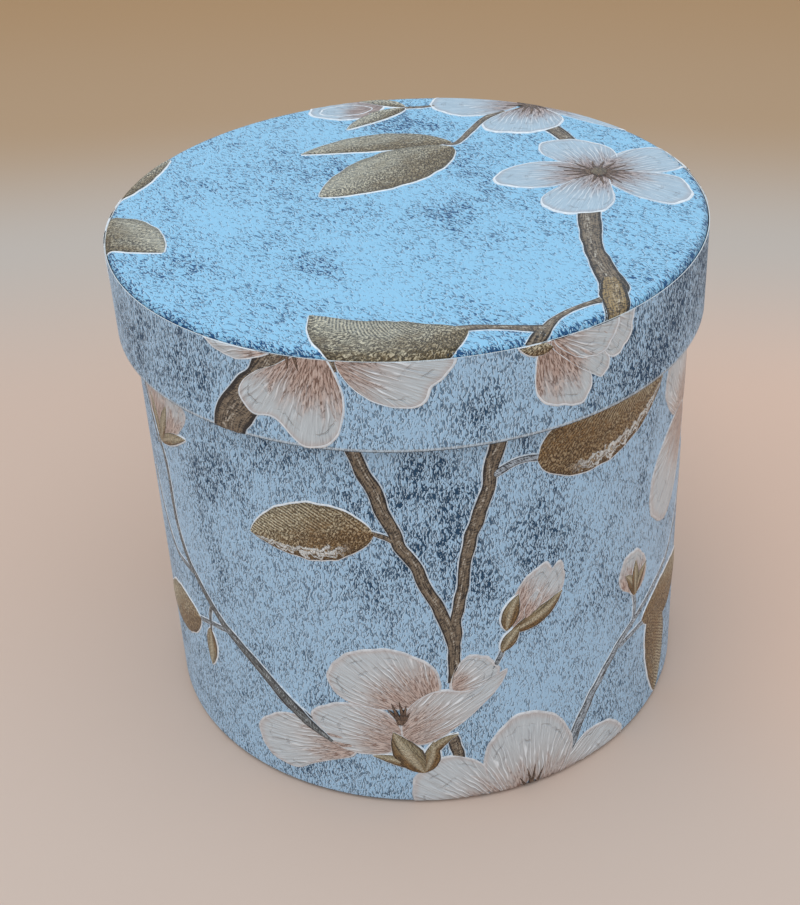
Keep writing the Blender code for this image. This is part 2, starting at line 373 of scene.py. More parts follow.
# Sizes of the prints' patterns, across and along their strokes, in metres
SIDE_DASH = (0.00036, 0.0012)
TOP_DASH = (0.00038, 0.0014)
PATCH_SIZE = (0.014, 0.024)
SPECKLE_SIZE = (0.0022, 0.0040)
GRAIN_SIZE = (0.0004, 0.0009)
PETAL_RIB_STEP = 0.0013
LEAF_RIB_STEP = 0.00118
# How far the painted highlight beside each dash lies from it
LIT_SHIFT = (0.00016, -0.00012)

# Depths of the patterns' relief, in metres
PAPER_RELIEF = 0.00016
PRINT_RELIEF = 0.0004
BARK_RELIEF = 0.0003

# How far the patterns pull on each other
DASH_EDGE, DASH_CORE = 0.44, 0.34
DASH_GAIN, DASH_BASE, DASH_FAINT = 1.7, -0.09, 0.50
PATCH_PULL = 0.80
SPECKLE_PULL = 0.20
# How much painted shade darkens the lid's paper where it turns down, and over how many millimetres it comes
# in
FOLD_SHADE_DEPTH = 0.26
FOLD_SHADE_WIDTH = 2
CLOUD_RAGGED = 0.018
# How strongly the painted highlight beside each dash shows
LIT_SHARE = 0.60
# How far below the painted highlight on the band's fold its painted shade line lies, in millimetres
FOLD_SHADE_STEP = 0.65

# The two layers of dashes: where each starts, and how the second one differs
FIRST_START = (0.0031, 0.0007)
SECOND_START = (0.0113, 0.0071)
SECOND_WIDER, SECOND_LONGER = 1.35, 1.25
SECOND_SPARSER = 0.03


def dashes(n, paper, size, turn, move, cover):
    """Short pressed dashes where a stretched noise is low, and a painted highlight on the lit side of each
    one.
    """
    def depth(*place):
        wander = n.noise(paper, size, 1.0, 0.55, 0.9, turn, (*place, 0))
        return n.smooth(wander - cover, DASH_EDGE, DASH_CORE)

    groove = depth(*move)
    beside = depth(move[0] + LIT_SHIFT[0], move[1] + LIT_SHIFT[1])
    return groove, n.math("MAXIMUM", beside - groove, 0.0)


def embossed_paper(name, light, middle, dark, size, turns, cover, pull, clouds, fold_highlight=None, fold=None):
    """Wall-covering paper: pale ground, darker clouds, short dark dashes pressed into it, and a painted
    highlight beside each dash.

    size is a dash's across and along, and turns are the directions of the two layers of dashes.
    cover is how much the dashes cover, and pull how much more of them the darker patches have.
    clouds are patches as (across, up, reach, depth), darker ones above and paler ones below zero.
    fold_highlight is the height of a painted highlight along the band's lower fold, with a painted
    shade line just below it, and fold the reach from the middle where a lid's paper turns down and is
    painted darker there as shade.
    """
    n = Nodes(name)
    paper = n.uv("paper")
    turn, second_turn = turns
    patch = (n.noise(paper, PATCH_SIZE, 4.0, 0.62, 0.5, turn) - 0.5) * PATCH_PULL + 0.5
    ragged = (patch - 0.5) * CLOUD_RAGGED
    for across, up, reach, depth in clouds:
        spot = n.distance(paper, (across * MM, up * MM, 0)) - ragged
        patch = patch + n.smooth(spot, reach * MM, 0.0) * depth
    # Painted shade where the lid's paper turns down over the corner
    if fold is not None:
        turned = n.smooth(n.distance(paper, (0, 0, 0)), (fold - FOLD_SHADE_WIDTH) * MM, fold * MM)
        patch = patch + turned * FOLD_SHADE_DEPTH
    small = n.noise(paper, SPECKLE_SIZE, 2.0, 0.6, turn=turn) - 0.5
    spread = (patch - 0.5) * pull + cover + small * SPECKLE_PULL
    wider = (size[0] * SECOND_WIDER, size[1] * SECOND_LONGER)
    groove_a, lit_a = dashes(n, paper, size, turn, FIRST_START, spread)
    groove_b, lit_b = dashes(n, paper, wider, second_turn, SECOND_START, spread - SECOND_SPARSER)
    groove = n.math("MAXIMUM", groove_a, groove_b)
    lit = n.math("MAXIMUM", lit_a, lit_b)
    depth = n.math("MAXIMUM", patch * DASH_GAIN + DASH_BASE, DASH_FAINT)
    face = n.layered(
        light,
        (n.smooth(small * 0.8 + patch, 0.42, 1.4), middle),
        # A painted highlight beside each dash
        (lit * LIT_SHARE, (226, 240, 252)),
        (groove * depth, dark),
    )
    if fold_highlight is not None:
        # A painted highlight along the band's lower fold, and a painted shade line just below it
        up = n.split(paper)[1]
        edge = n.smooth(abs(up - fold_highlight * MM), 0.0004, 0.0002)
        below = n.smooth(abs(up - (fold_highlight - FOLD_SHADE_STEP) * MM), 0.0005, 0.0002)
        face = n.layered(face, (edge * 0.6, (206, 212, 216)), (below * 0.7, (52, 56, 62)))
    height = n.noise(paper, GRAIN_SIZE, turn=turn) * 0.3 - groove
    return n.finish(face, groove * 0.25 + 0.38, n.bump(height, PAPER_RELIEF))


def petal_material(name, near_colour, far_colour, blush, vein, ribs):
    """Printed petals: pale, with ribs and hair lines along them, blushed and crinkled at the base.
    Each rib carries a painted highlight on its crest and painted shade along one side.

    ribs is how strongly the ribs show.
    """
    n = Nodes(name)
    along, rim, _ = n.split(n.uv("shape"))
    size = n.uv("size")
    across = n.split(size)[0]
    tone = n.look()[0]
    broad = n.noise(size, (0.0022, 0.009), 3.0, 0.6, 0.6) - 0.5
    swing = n.noise(size, (0.0035, 0.011))
    hair = n.noise(size, (0.00030, 0.0050), 1.0, 0.5, 0.3)
    crinkle = n.noise(size, (0.00046, 0.0019), 1.5, 0.6, 0.8)
    turns = (across / PETAL_RIB_STEP + swing * 2.6) * math.tau
    wave = n.math("SINE", turns) * 0.5 + 0.5
    shown = n.smooth(along, 0.05, 0.35) * n.smooth(swing, 0.44, 0.60)
    # Painted shade along one side of each rib
    shade = n.smooth(n.math("SINE", turns - 1.3), 0.3, 1.0) * shown
    inner = n.smooth(along, 0.08, 0.22) * n.smooth(along, 0.78, 0.48)
    # A painted highlight along each rib's crest
    crest_highlight = n.smooth(wave, 0.78, 0.98) * inner * n.smooth(swing, 0.36, 0.52)
    reach = broad * 0.9 + along - tone * 0.3
    low = n.smooth(reach, 0.36, 0.04)
    veins = n.smooth(crinkle, 0.47, 0.36) * low
    glow = n.smooth(crinkle, 0.53, 0.66) * low
    waved = broad * 0.2 + rim
    creases = n.math("MAXIMUM", n.ridged(waved, 0.66, 0.020), n.ridged(waved, 0.85, 0.016))
    creases = creases * n.smooth(along, 0.35, 0.7) * n.smooth(swing, 0.40, 0.60)
    face = n.layered(
        near_colour,
        (n.smooth(along, 0.15, 0.8), far_colour),
        (shade * (0.36 * ribs), (138, 138, 144)),
        (crest_highlight * ribs, (248, 250, 252)),
        (n.smooth(hair, 0.55, 0.70) * 0.30, (240, 243, 246)),
        (n.smooth(hair, 0.44, 0.32) * 0.12, (128, 124, 126)),
        (n.smooth(reach, 0.40, -0.12) * 0.8, blush),
        (veins * 0.74, vein),
        (glow * (0.80 * ribs), (226, 206, 194)),
        (n.smooth(rim, 0.90, 0.99) * 0.34, blush),
        (creases * (0.34 * ribs), (118, 119, 124)),
    )
    height = wave * (shown * (0.5 * ribs) + 0.15 * ribs) + hair * 0.6
    height = height - n.math("MAXIMUM", veins, creases) * 0.5
    return n.finish(face, 0.34, n.bump(height, PRINT_RELIEF))


def leaf_material(name, light, middle, deep, glint):
    """Bronze leaves: ribs that slant from the midrib towards the tip, crinkled near the base.

    The look attribute's second number is how strongly a painted glint of white dashes lines the lower
    edge, and its third how plain the leaf is, as sepals are, with a dark edge and a pale midrib.
    """
    n = Nodes(name)
    share, side, _ = n.split(n.uv("shape"))
    size = n.uv("size")
    along, across, _ = n.split(size)
    tone, lined, plain = n.look()
    rugged = 1 - plain * 0.95
    run = along - abs(across) * 1.15 + n.noise(size, (0.0020, 0.0016)) * 0.0010
    rib = n.math("SINE", run * (math.tau / LEAF_RIB_STEP)) * 0.5 + 0.5
    torn = n.smooth(n.noise(size, (0.0030, 0.0018), 2.0, 0.6, 0.5), 0.46, 0.58)
    crinkled = n.smooth(side, 0.62, 0.38) * 0.45 + n.smooth(share, 0.5, 0.1) * 0.3 + torn * 0.36 + 0.2
    crinkle = n.smooth(n.noise(size, (0.0004, 0.0007), 2.0, 0.6, 0.8, -0.6), 0.38, 0.62)
    relief = rib * (1 - crinkled) + crinkle * (crinkled + 0.18)
    broad = n.noise(size, (0.006, 0.0035), 3.0, 0.6) - 0.5
    body = share * 0.75 + broad * 0.9 + (side - 0.5) * 0.8 + (tone - 0.5) * 0.7
    ink = n.smooth(body, 0.0, 0.9)
    streak = n.noise(size, (0.0040, 0.00032), 2.0, 0.6, 0.4)
    off = abs(side - 0.5)
    # A painted glint: white curling dashes along the lower edge
    curled = (n.noise(size, (0.0016, 0.0022), 1.0, 0.5, 0.8) - 0.5) * 0.30 + side
    line = n.math("MAXIMUM", n.ridged(curled, 0.17, 0.060), n.ridged(curled, 0.08, 0.032))
    line = line * n.smooth(share, 0.16, 0.34) * n.smooth(share, 1.02, 0.94) * lined
    face = n.layered(
        middle,
        (ink, light),
        (n.smooth(relief, 0.56, 0.12) * rugged * 0.80, deep),
        (n.smooth(relief, 0.62, 0.96) * rugged * (ink * 0.65 + 0.25), (240, 228, 198)),
        (n.smooth(streak, 0.54, 0.38) * plain * 0.7, deep),
        (n.smooth(off, 0.24, 0.04) * plain * 0.7, (226, 212, 182)),
        (n.smooth(off, 0.36, 0.5) * (plain * 0.45 + 0.4), deep),
        (line, glint),
    )
    return n.finish(face, 0.34, n.bump(relief + line * 0.4, PRINT_RELIEF), 0.55, 0.1)


def bark_material(name, light, deep, bronze, highlight_colour):
    """Twigs and branches: dark rims, a painted highlight streak along them, fine ticks across, bronze knots.
    """
    n = Nodes(name)
    side = n.split(n.uv("shape"))[1]
    size = n.uv("size")
    streak = n.noise(size, (0.0030, 0.00035), 2.0, 0.6, 0.4)
    ticks = n.noise(size, (0.00035, 0.0011), 1.5, 0.6, 0.7, 0.5)
    rim = n.smooth(abs(side - 0.5), 0.32, 0.49)
    body = (streak - 0.5) * 1.5 + (ticks - 0.5) * 1.3 - rim * 0.6
    # A painted highlight streak a little off the middle
    highlight_streak = n.smooth(abs(side - 0.6), 0.24, 0.0) * n.smooth(body, 0.06, 0.36)
    face = n.layered(
        light,
        (n.smooth(n.look()[0], 0.8, 1.0), bronze),
        (n.smooth(body, 0.18, -0.34), deep),
        (highlight_streak * 0.75, highlight_colour),
    )
    return n.finish(face, 0.36, n.bump(streak + ticks * 0.9, BARK_RELIEF), 0.55)


def plain_paper(name, light, deep, grain):
    """Uncoated paper: faint fibres and a slight uneven tone."""
    n = Nodes(name)
    fibre = n.noise(n.position(), (grain, grain * 2.8, grain), 3.0, 0.65, 0.6)
    tone = fibre * 0.6 + n.noise(n.position(), (0.022, 0.022, 0.022)) * 0.5
    return n.finish(n.mix(n.smooth(tone, 0.3, 0.8), deep, light), 0.85, n.bump(fibre, 0.00006), 0.25)


def board_material(name, light, deep):
    """Grey chipboard: flecks of pulp and pressed layers on its cut edges."""
    n = Nodes(name)
    pulp = n.noise(n.position(), (0.0007, 0.0007, 0.0004), 3.0, 0.7)
    fleck = n.smooth(n.noise(n.position(), (0.0004, 0.0004, 0.0004), 1.0), 0.62, 0.72)
    face = n.layered(deep, (n.smooth(pulp, 0.3, 0.7), light), (fleck * 0.4, (92, 84, 74)))
    return n.finish(face, 0.92, n.bump(pulp, 0.00012), 0.2)


def ridge_material(name, pale, cool):
    """The pale rim round each printed shape: partly the print's white edge, partly a painted highlight where
    the embossing rises.
    """
    n = Nodes(name)
    cloud = n.noise(n.position(), (0.0012, 0.0012, 0.0012))
    return n.finish(n.mix(n.smooth(cloud, 0.35, 0.65), pale, cool), 0.32, n.bump(cloud, 0.00008), 0.55)


# Darker and paler patches as (across, up, reach, depth), the first three in millimetres
TOP_CLOUDS = (
    (-31, 25, 16, 0.20), (-16, 22, 12, 0.18), (-49, -25, 13, 0.18), (-20, -26, 11, 0.14),
    (10, -2, 14, 0.18), (15, 28, 16, 0.21), (-2, 50, 16, 0.24), (40, 66, 14, 0.10), (56, 45, 10, 0.12),
    (28, -40, 16, -0.20), (-40, -4, 16, -0.14), (-24, 44, 14, -0.06), (60, -20, 12, -0.06),
    (-4, -44, 14, -0.18),
)
BODY_CLOUDS = (
    (3, 94, 21, 0.12), (6, 76, 20, 0.15), (18, 62, 18, 0.10), (-34, 100, 18, 0.12), (-46, 84, 14, 0.06),
    (38, 86, 24, 0.05), (28, 98, 15, 0.05), (-14, 70, 14, 0.06), (-56, 26, 26, -0.03), (-30, 46, 17, -0.10),
    (-34, 62, 13, -0.04), (-66, 76, 10, -0.06), (30, 32, 22, -0.15), (48, 60, 15, -0.03),
    (-10, 8, 16, -0.08), (64, 44, 16, -0.04), (-66, 60, 13, -0.08), (-130, 70, 20, 0.18),
    (160, 40, 22, 0.16), (110, 95, 18, 0.16), (-170, 30, 16, 0.16), (190, 90, 20, -0.14),
    (-120, 24, 20, -0.14),
)
# The band's own patches, and deep patches towards both sides of its front that are painted shade where it
# turns away from the light
BAND_PATCHES_AND_SHADE = (
    (-60, 118, 20, 0.11), (-50, 112, 12, 0.06), (-72, 116, 12, 0.03), (14, 114, 8, 0.07),
    (56, 116, 25, 0.13), (70, 120, 24, 0.12), (84, 116, 26, 0.12), (0, 108, 10, -0.06),
    (110, 115, 16, 0.14), (-130, 114, 15, 0.14), (-180, 115, 18, -0.12),
)

# The papers' colours, the turns of their two layers of dashes, how far out the lid's paper folds
# down and how high the painted highlight on the band's lower fold lies, in millimetres. The top's
# colours are the walls' paper painted a more saturated blue for the cool light from above
TOP_COLOURS = ((140, 196, 228), (104, 162, 197), (0, 74, 122))
SIDE_COLOURS = ((168, 202, 229), (122, 154, 180), (8, 62, 94))
TOP_TURNS = (0.55, 1.05)
SIDE_TURNS = (-0.10, 0.22)
TOP_FOLD = 69.5
FOLD_HIGHLIGHT_HEIGHT = 105.1

# The lid's top paper: the walls' paper painted a more saturated blue for the cool light from above
top_paper_material = embossed_paper(
    "sky_paper", *TOP_COLOURS, TOP_DASH, TOP_TURNS, -0.02, 0.26, TOP_CLOUDS, fold=TOP_FOLD
)
body_paper_material = embossed_paper(
    "slate_paper", *SIDE_COLOURS, SIDE_DASH, SIDE_TURNS, 0.015, 0.28, BODY_CLOUDS
)
band_paper_material = embossed_paper(
    "band_paper", *SIDE_COLOURS, SIDE_DASH, SIDE_TURNS, 0.02, 0.30, BAND_PATCHES_AND_SHADE, fold_highlight=FOLD_HIGHLIGHT_HEIGHT
)
petals = petal_material("petal_print", (184, 176, 172), (196, 202, 205), (182, 146, 128), (106, 72, 54), 0.8)
soft_petals = petal_material(
    "petal_print_soft", (192, 185, 181), (198, 203, 206), (190, 160, 146), (148, 112, 96), 0.85
)
# The lid's top petals: the walls' petal print painted bluer for the cool light from above
top_petals = petal_material(
    "petal_print_top", (160, 168, 178), (170, 191, 206), (164, 134, 124), (104, 78, 68), 0.55
)
leaves = leaf_material("leaf_print", (178, 164, 132), (150, 112, 62), (54, 34, 12), (250, 250, 246))
top_leaves = leaf_material("leaf_print_top", (188, 187, 174), (136, 114, 78), (38, 30, 14), (240, 244, 240))
bark = bark_material("branch_print", (132, 115, 95), (32, 26, 24), (166, 138, 92), (220, 214, 202))
stems = bark_material("stem_print", (116, 120, 120), (36, 40, 46), (172, 182, 192), (234, 240, 246))
stamen = bark_material("stamen_print", (114, 88, 70), (60, 44, 36), (118, 104, 80), (166, 140, 114))
ridge = ridge_material("ridge_print", (236, 238, 240), (216, 224, 231))
soft_ridge = ridge_material("soft_ridge", (216, 214, 214), (194, 190, 190))
dim_ridge = ridge_material("branch_ridge", (218, 226, 233), (184, 197, 209))
white_core = plain_paper("paper_core", (224, 226, 226), (204, 206, 206), 0.0006)
paper_back = plain_paper("paper_back", (214, 210, 200), (190, 186, 176), 0.0007)
lining_paper = plain_paper("lining", (232, 226, 212), (214, 206, 190), 0.0008)
base_paper = plain_paper("base", (222, 214, 200), (198, 190, 176), 0.0008)
greyboard = board_material("greyboard", (150, 142, 130), (112, 104, 94))


# Papers as smooth closed sheets

# A sheet's material slots, and a quad's corners in the other turn
FACE, BACK, EDGE = 0, 1, 2
FLIPPED = [0, 3, 2, 1]


def new_piece(name, mesh, body, record_slot, *nodes):
    """Puts a mesh in the scene as a piece of the object, riding on a body."""
    piece = bpy.data.objects.new(name, mesh)
    bpy.context.scene.collection.objects.link(piece)
    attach(piece, body)
    if nodes:
        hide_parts(*nodes)
    return piece


def add_uv(mesh, name, places):
    """A mesh's UV layer from one flat place for each of its points."""
    corner = np.zeros(len(mesh.loops), int)
    mesh.loops.foreach_get("vertex_index", corner)
    layer = mesh.uv_layers.new(name=name)
    layer.data.foreach_set("uv", np.array(places, float)[corner].ravel())


def paper_sheet(name, wall, thickness, materials):
    """A sheet round a wall or over the lid, closed by its back and its raw edges."""
    section = wall.section
    flat_top = isinstance(wall, Top)
    turned = np.linspace(0, math.tau, COLUMNS + 1)
    walk, angle = np.meshgrid(section.walk, turned, indexing="ij")
    lift = lap_lift(angle, walk, *wall.lapped, section.radius) if wall.lapped else 0
    angle = angle + wall.seam
    layers = []
    for sink in (0, -thickness):
        radius, height = section.at(walk, lift + sink)
        layers.append(np.stack([radius * np.sin(angle), -radius * np.cos(angle), height], axis=2))
    if flat_top:
        pattern = np.stack([walk * np.sin(angle), -walk * np.cos(angle)], axis=2)
    else:
        pattern = np.stack([(angle - math.tau) * section.radius, walk], axis=2)
    grid = np.arange(walk.size).reshape(walk.shape)
    front = np.stack([grid[:-1, :-1], grid[:-1, 1:], grid[1:, 1:], grid[1:, :-1]], axis=2).reshape(-1, 4)
    if flat_top:
        front = front[:, FLIPPED]
    faces = [front, front[:, FLIPPED] + grid.size]
    for row, flip in ((grid[0], flat_top), (grid[-1], not flat_top)):
        ring = np.stack([row[:-1], row[:-1] + grid.size, row[1:] + grid.size, row[1:]], axis=1)
        faces.append(ring[:, ::-1] if flip else ring)
    mesh = bpy.data.meshes.new(name)
    points = np.concatenate(layers).reshape(-1, 3) * MM
    mesh.from_pydata(points.tolist(), [], np.concatenate(faces).tolist())
    add_uv(mesh, "paper", np.concatenate([pattern, pattern]).reshape(-1, 2) * MM)
    slots = np.repeat([FACE, BACK, EDGE, EDGE], [len(group) for group in faces])
    mesh.polygons.foreach_set("material_index", slots)
    for material in materials:
        mesh.materials.append(material)
    close_seam(mesh)
    mesh.shade_smooth()
    mesh.set_sharp_from_angle(angle=SHEET_SHARP)
    return mesh


def close_seam(mesh):
    """Merges the strip's two ends where they meet, and closes the step where they lap."""
    shape = bmesh.new()
    shape.from_mesh(mesh)
    bmesh.ops.remove_doubles(shape, verts=shape.verts[:], dist=SEAM_GAP)
    for face in close_holes(shape):
        face.material_index = EDGE
    shape.to_mesh(mesh)
    shape.free()


def close_holes(shape):
    """Fills a shape's open edges; gives the new faces."""
    open_edges = [edge for edge in shape.edges if edge.is_boundary]
    return bmesh.ops.holes_fill(shape, edges=open_edges, sides=0)["faces"] if open_edges else []


def build_papers():
    """The three covering papers."""
    sheets = (
        ("box_paper", box_wall, PAPER, body_paper_material, "box", "box_outer_wrap"),
        ("band_paper", band_wall, RAW_EDGE, band_paper_material, "lid", "lid_band_wrap"),
        ("lid_paper", lid_face, PAPER, top_paper_material, "lid", "lid_top_cover"),
    )
    for name, wall, thickness, face, body, node in sheets:
        mesh = paper_sheet(name, wall, thickness, (face, paper_back, white_core))
        new_piece(name, mesh, body, "embossed_paper", node)


def build_linings():
    """Smooth linings inside the box and the lid, and the paper that the box stands on."""
    inner = lining_high.x - LINING
    upper = BOX_RIM_INNER - PAPER - LINING
    step = wrap_high.z - BOX_TURN_IN - PAPER
    wall = Wall(Section([
        (upper, lining_high.z), (upper, step), (inner, step - LINING_STEP), (inner, lining_low.z)
    ]), inner, BOX_SEAM)
    mesh = paper_sheet("wall_lining", wall, LINING, [lining_paper] * 3)
    new_piece("wall_lining", mesh, "box", "lining_paper", "box_wall_lining")
    discs = (
        ("floor_lining", "box", "lining_paper", "box_floor_lining", lining_paper),
        ("top_lining", "lid", "lining_paper", "lid_top_lining", lining_paper),
        ("base_sheet", "box", "base_paper", "box_base_cover", base_paper),
    )
    for name, body, slot, node, material in discs:
        low, high = corners(node)
        face = Top(Section([(0, high.z), (high.x, high.z)], side=-1))
        mesh = paper_sheet(name, face, high.z - low.z, [material] * 3)
        new_piece(name, mesh, body, slot, node)


# Raised shapes, drawn flat, in millimetres

RIM = 0.40
RIM_LIFT = 0.035
STAMEN_RIM = 0.08
SUNK = -0.06
RAW_EDGE_MARGIN = 0.02
PETAL_ROUND = 112
PETAL_RINGS = 11
PETAL_RIM_SHARE = 0.7
PETAL_BACK_SHARE = 0.5
PETAL_RUFFLE = 0.2
PETAL_DOME = 0.05
FOCUS_BACK = 0.5
VEIN_MIDDLE = 0.55
VEIN_FOLD = 2.3
FOLD_HEIGHT = 0.022
STRIP_STEP = 0.9
STRIP_BACK_SHARE = 0.34
CURVE_STEPS = 24
SWELL_POINTS = 61
LEAF_CROWN, TWIG_CROWN, HEART_CROWN = 0.04, 0.06, 0.12
TWIG_RIM_SHARE = 0.7
TWIG_STEP = 3.2
TWIG_UNEVEN = (0.94, 1.08)
KNOBBLE = 0.22
STAMEN_STRAY = 0.4
STAMEN_SHARES = (0.9, 1.0, 0.8, 0.55, 0.15)
PRINT, RIDGE = 0, 1


def smooth_points(points, count, closed):
    """Points spaced evenly along a smooth curve through the given ones."""
    points = np.array(points, float)
    if closed:
        padded = np.vstack([points[-1], points, points[0], points[1]])
    else:
        padded = np.vstack([2 * points[0] - points[1], points, 2 * points[-1] - points[-2]])
    dense = []
    for i in range(1, len(padded) - 2):
        a, b, c, d = padded[i - 1:i + 3]
        for t in np.linspace(0, 1, CURVE_STEPS, endpoint=False):
            dense.append(0.5 * (2 * b + (c - a) * t + (2 * a - 5 * b + 4 * c - d) * t ** 2
                                + (3 * b - a - 3 * c + d) * t ** 3))
    dense = np.array([*dense, padded[-2]])
    walk = walked(dense)
    places = np.linspace(0, walk[-1], count, endpoint=not closed)
    return np.stack([np.interp(places, walk, dense[:, i]) for i in (0, 1)], axis=1)


def spread(values, places):
    """Values at even shares of a length, read off at the given shares."""
    return np.interp(places, np.linspace(0, 1, len(values)), values)


def eased(values):
    """More values between the given ones, level at each of those."""
    places = np.linspace(0, len(values) - 1, 6 * len(values))
    step = np.minimum(places.astype(int), len(values) - 2)
    part = places - step
    part = part ** 2 * (3 - 2 * part)
    values = np.array(values)
    return values[step] * (1 - part) + values[step + 1] * part


class Relief:
    """Raised shapes of one print on one surface, gathered flat and laid on together."""

    def __init__(self, seed):
        self.random = random.Random(seed)
        self.points = []
        self.faces = []
        self.shape = []
        self.size = []
        self.look = []
        self.kinds = []

    def add_points(self, points, shape, size, tone, lined=0.0, plain=0.0):
        """Adds points with their places in shares and in millimetres; gives the first one's number."""
        start = len(self.points)
        self.points.extend(map(tuple, points))
        self.shape.extend(map(tuple, shape))
        self.size.extend(np.array(size) * MM)
        self.look.extend([(tone, lined, plain)] * len(points))
        return start

    def add_face(self, face, kind):
        self.faces.append(face)
        self.kinds.append(kind)

    def petal(self, base, outline, lift, tone):
        """A petal, fanned out from a point inside its narrow end, with folds that follow its veins."""
        base = np.array(base, float)
        ring = smooth_points(outline, PETAL_ROUND, True)
        ahead = np.roll(ring, -1, axis=0)
        if np.sum(ring[:, 0] * ahead[:, 1] - ring[:, 1] * ahead[:, 0]) < 0:
            ring = ring[::-1]
        phase = self.random.uniform(0, math.tau)
        around = np.linspace(0, math.tau, PETAL_ROUND, endpoint=False)
        spokes = ring - base
        wave = np.sin(around * 7 + phase) + 0.5 * np.sin(around * 15 + 2 * phase)
        spokes *= (1 + PETAL_RUFFLE * wave / lengths(spokes).max())[:, None]
        length = lengths(spokes)
        reach = length.max()
        axis = (spokes * length[:, None]).sum(axis=0)
        axis /= np.linalg.norm(axis)
        focus = base - axis * FOCUS_BACK * reach

        def add(places, height, share, folded=0.0):
            """Adds points, placed across and along the veins that spread from behind the petal."""
            away = places - focus
            angle = np.arctan2(axis[0] * away[:, 1] - axis[1] * away[:, 0], away @ axis)
            across = angle * (FOCUS_BACK + VEIN_MIDDLE) * reach
            along = lengths(away) - FOCUS_BACK * reach
            fold = np.sin(across * math.tau / VEIN_FOLD + phase) * np.clip(along / reach * 2, 0, 1)
            points = np.column_stack([places, height + FOLD_HEIGHT * folded * fold])
            shape = np.column_stack([along / reach, np.broadcast_to(share, len(places))])
            return self.add_points(points, shape, np.column_stack([across, along]), tone)

        def row(share, height, folded):
            return add(base + spokes * np.reshape(share, (-1, 1)), height, share, folded)

        inside = 1 - RIM / np.maximum(length, 2 * RIM)
        beyond = 1 + PETAL_RIM_SHARE * RIM / np.maximum(length, 2 * RIM)
        start = add(base[None], lift + PETAL_DOME, 0.0)
        rows = []
        for step in range(1, PETAL_RINGS + 1):
            share = step / PETAL_RINGS
            rows.append(row(inside * share, lift + PETAL_DOME * (1 - share ** 2), 1.0))
        rows.append(row(1.0, lift + RIM_LIFT, 0.3))
        rows.append(row(beyond, 0.0, 0.0))
        rows.append(row(beyond, SUNK, 0.0))
        rows.append(row(PETAL_BACK_SHARE, SUNK, 0.0))
        end = add(base[None], SUNK, 0.0)
        for i in range(PETAL_ROUND):
            j = (i + 1) % PETAL_ROUND
            self.add_face((start, rows[0] + i, rows[0] + j), PRINT)
            for step, (near, far) in enumerate(zip(rows, rows[1:])):
                kind = RIDGE if step >= PETAL_RINGS - 1 else PRINT
                self.add_face((near + i, far + i, far + j, near + j), kind)
            self.add_face((rows[-1] + j, rows[-1] + i, end), RIDGE)

    def strip(self, line, left, right, lift, tone, crown=LEAF_CROWN, rim=RIM, rim_kind=RIDGE, **look):
        """A leaf or a twig: a band along a smooth line, with its half widths at even shares of it."""
        back = STRIP_BACK_SHARE
        count = max(8, math.ceil(walked(line)[-1] / STRIP_STEP))
        spine = smooth_points(line, count, False)
        along = np.gradient(spine, axis=0)
        along /= lengths(along)[:, None]
        normal = np.stack([-along[:, 1], along[:, 0]], axis=1)
        walk = walked(spine)
        share = walk / walk[-1]
        left, right = spread(left, share), spread(right, share)
        inner_steps = max(5, math.ceil((left.max() + right.max()) / STRIP_STEP))
        across = [(-1, rim, SUNK), (-1, rim, 0.0), (-1, 0, lift)]
        across += [(t, 0, lift + crown * (1 - t * t)) for t in np.linspace(-1, 1, inner_steps + 2)[1:-1]]
        across += [(1, 0, lift), (1, rim, 0.0), (1, rim, SUNK), (back, 0, SUNK), (-back, 0, SUNK)]
        upwards = -1 if normal[:, 1].mean() < 0 else 1
        columns = []
        for t, over, height in across:
            width = left * t if t >= 0 else right * t
            place = spine + normal * (width + math.copysign(over, t))[:, None]
            points = np.column_stack([place, np.full(count, height)])
            shape = np.column_stack([share, np.full(count, (1 + upwards * t) / 2)])
            columns.append(self.add_points(points, shape, np.column_stack([walk, width]), tone, **look))
        for c, (near, far) in enumerate(zip(columns, columns[1:] + columns[:1])):
            kind = PRINT if 2 <= c < inner_steps + 3 else rim_kind
            for i in range(count - 1):
                self.add_face((near + i, near + i + 1, far + i + 1, far + i), kind)
        self.add_face(tuple(columns), rim_kind)
        self.add_face(tuple(column + count - 1 for column in reversed(columns)), rim_kind)

    def leaf(self, base, tip, bend, left, right, tone=0.5, lift=0.17, blunt=0.5, **look):
        """A leaf along a bent spine, widest before its middle, pointed at its tip."""
        base, tip = np.array(base, float), np.array(tip, float)
        span = tip - base
        side = np.array([-span[1], span[0]]) / np.linalg.norm(span) * bend
        bends = ((0, 0), (0.25, 0.75), (0.5, 1), (0.75, 0.75), (1, 0))
        line = [base + span * share + side * bent for share, bent in bends]
        shares = np.linspace(0, 1, SWELL_POINTS)
        swell = np.clip(np.sin(math.pi * shares ** 0.85) ** (1 - 0.35 * blunt), 0.02, 1)
        phase = self.random.uniform(0, math.tau)
        ripple = 1 + 0.018 * np.sin(shares * 26 + phase) + 0.012 * np.sin(shares * 47 + phase)
        self.strip(line, left * swell * ripple, right * swell * ripple[::-1], lift, tone, **look)

    def twig(self, line, widths, tone=0.5, lift=0.12):
        """A twig or branch through points, with its uneven widths at even shares of its length."""
        samples = max(6, int(walked(line)[-1] / TWIG_STEP))
        half = spread(widths, np.linspace(0, 1, samples)) / 2
        sway = [self.random.uniform(-KNOBBLE, KNOBBLE) * min(h, 1) for h in half]
        left = [h * self.random.uniform(*TWIG_UNEVEN) + s for h, s in zip(half, sway)]
        right = [h * self.random.uniform(*TWIG_UNEVEN) - s for h, s in zip(half, sway)]
        self.strip(line, eased(left), eased(right), lift, tone, TWIG_CROWN, RIM * TWIG_RIM_SHARE)

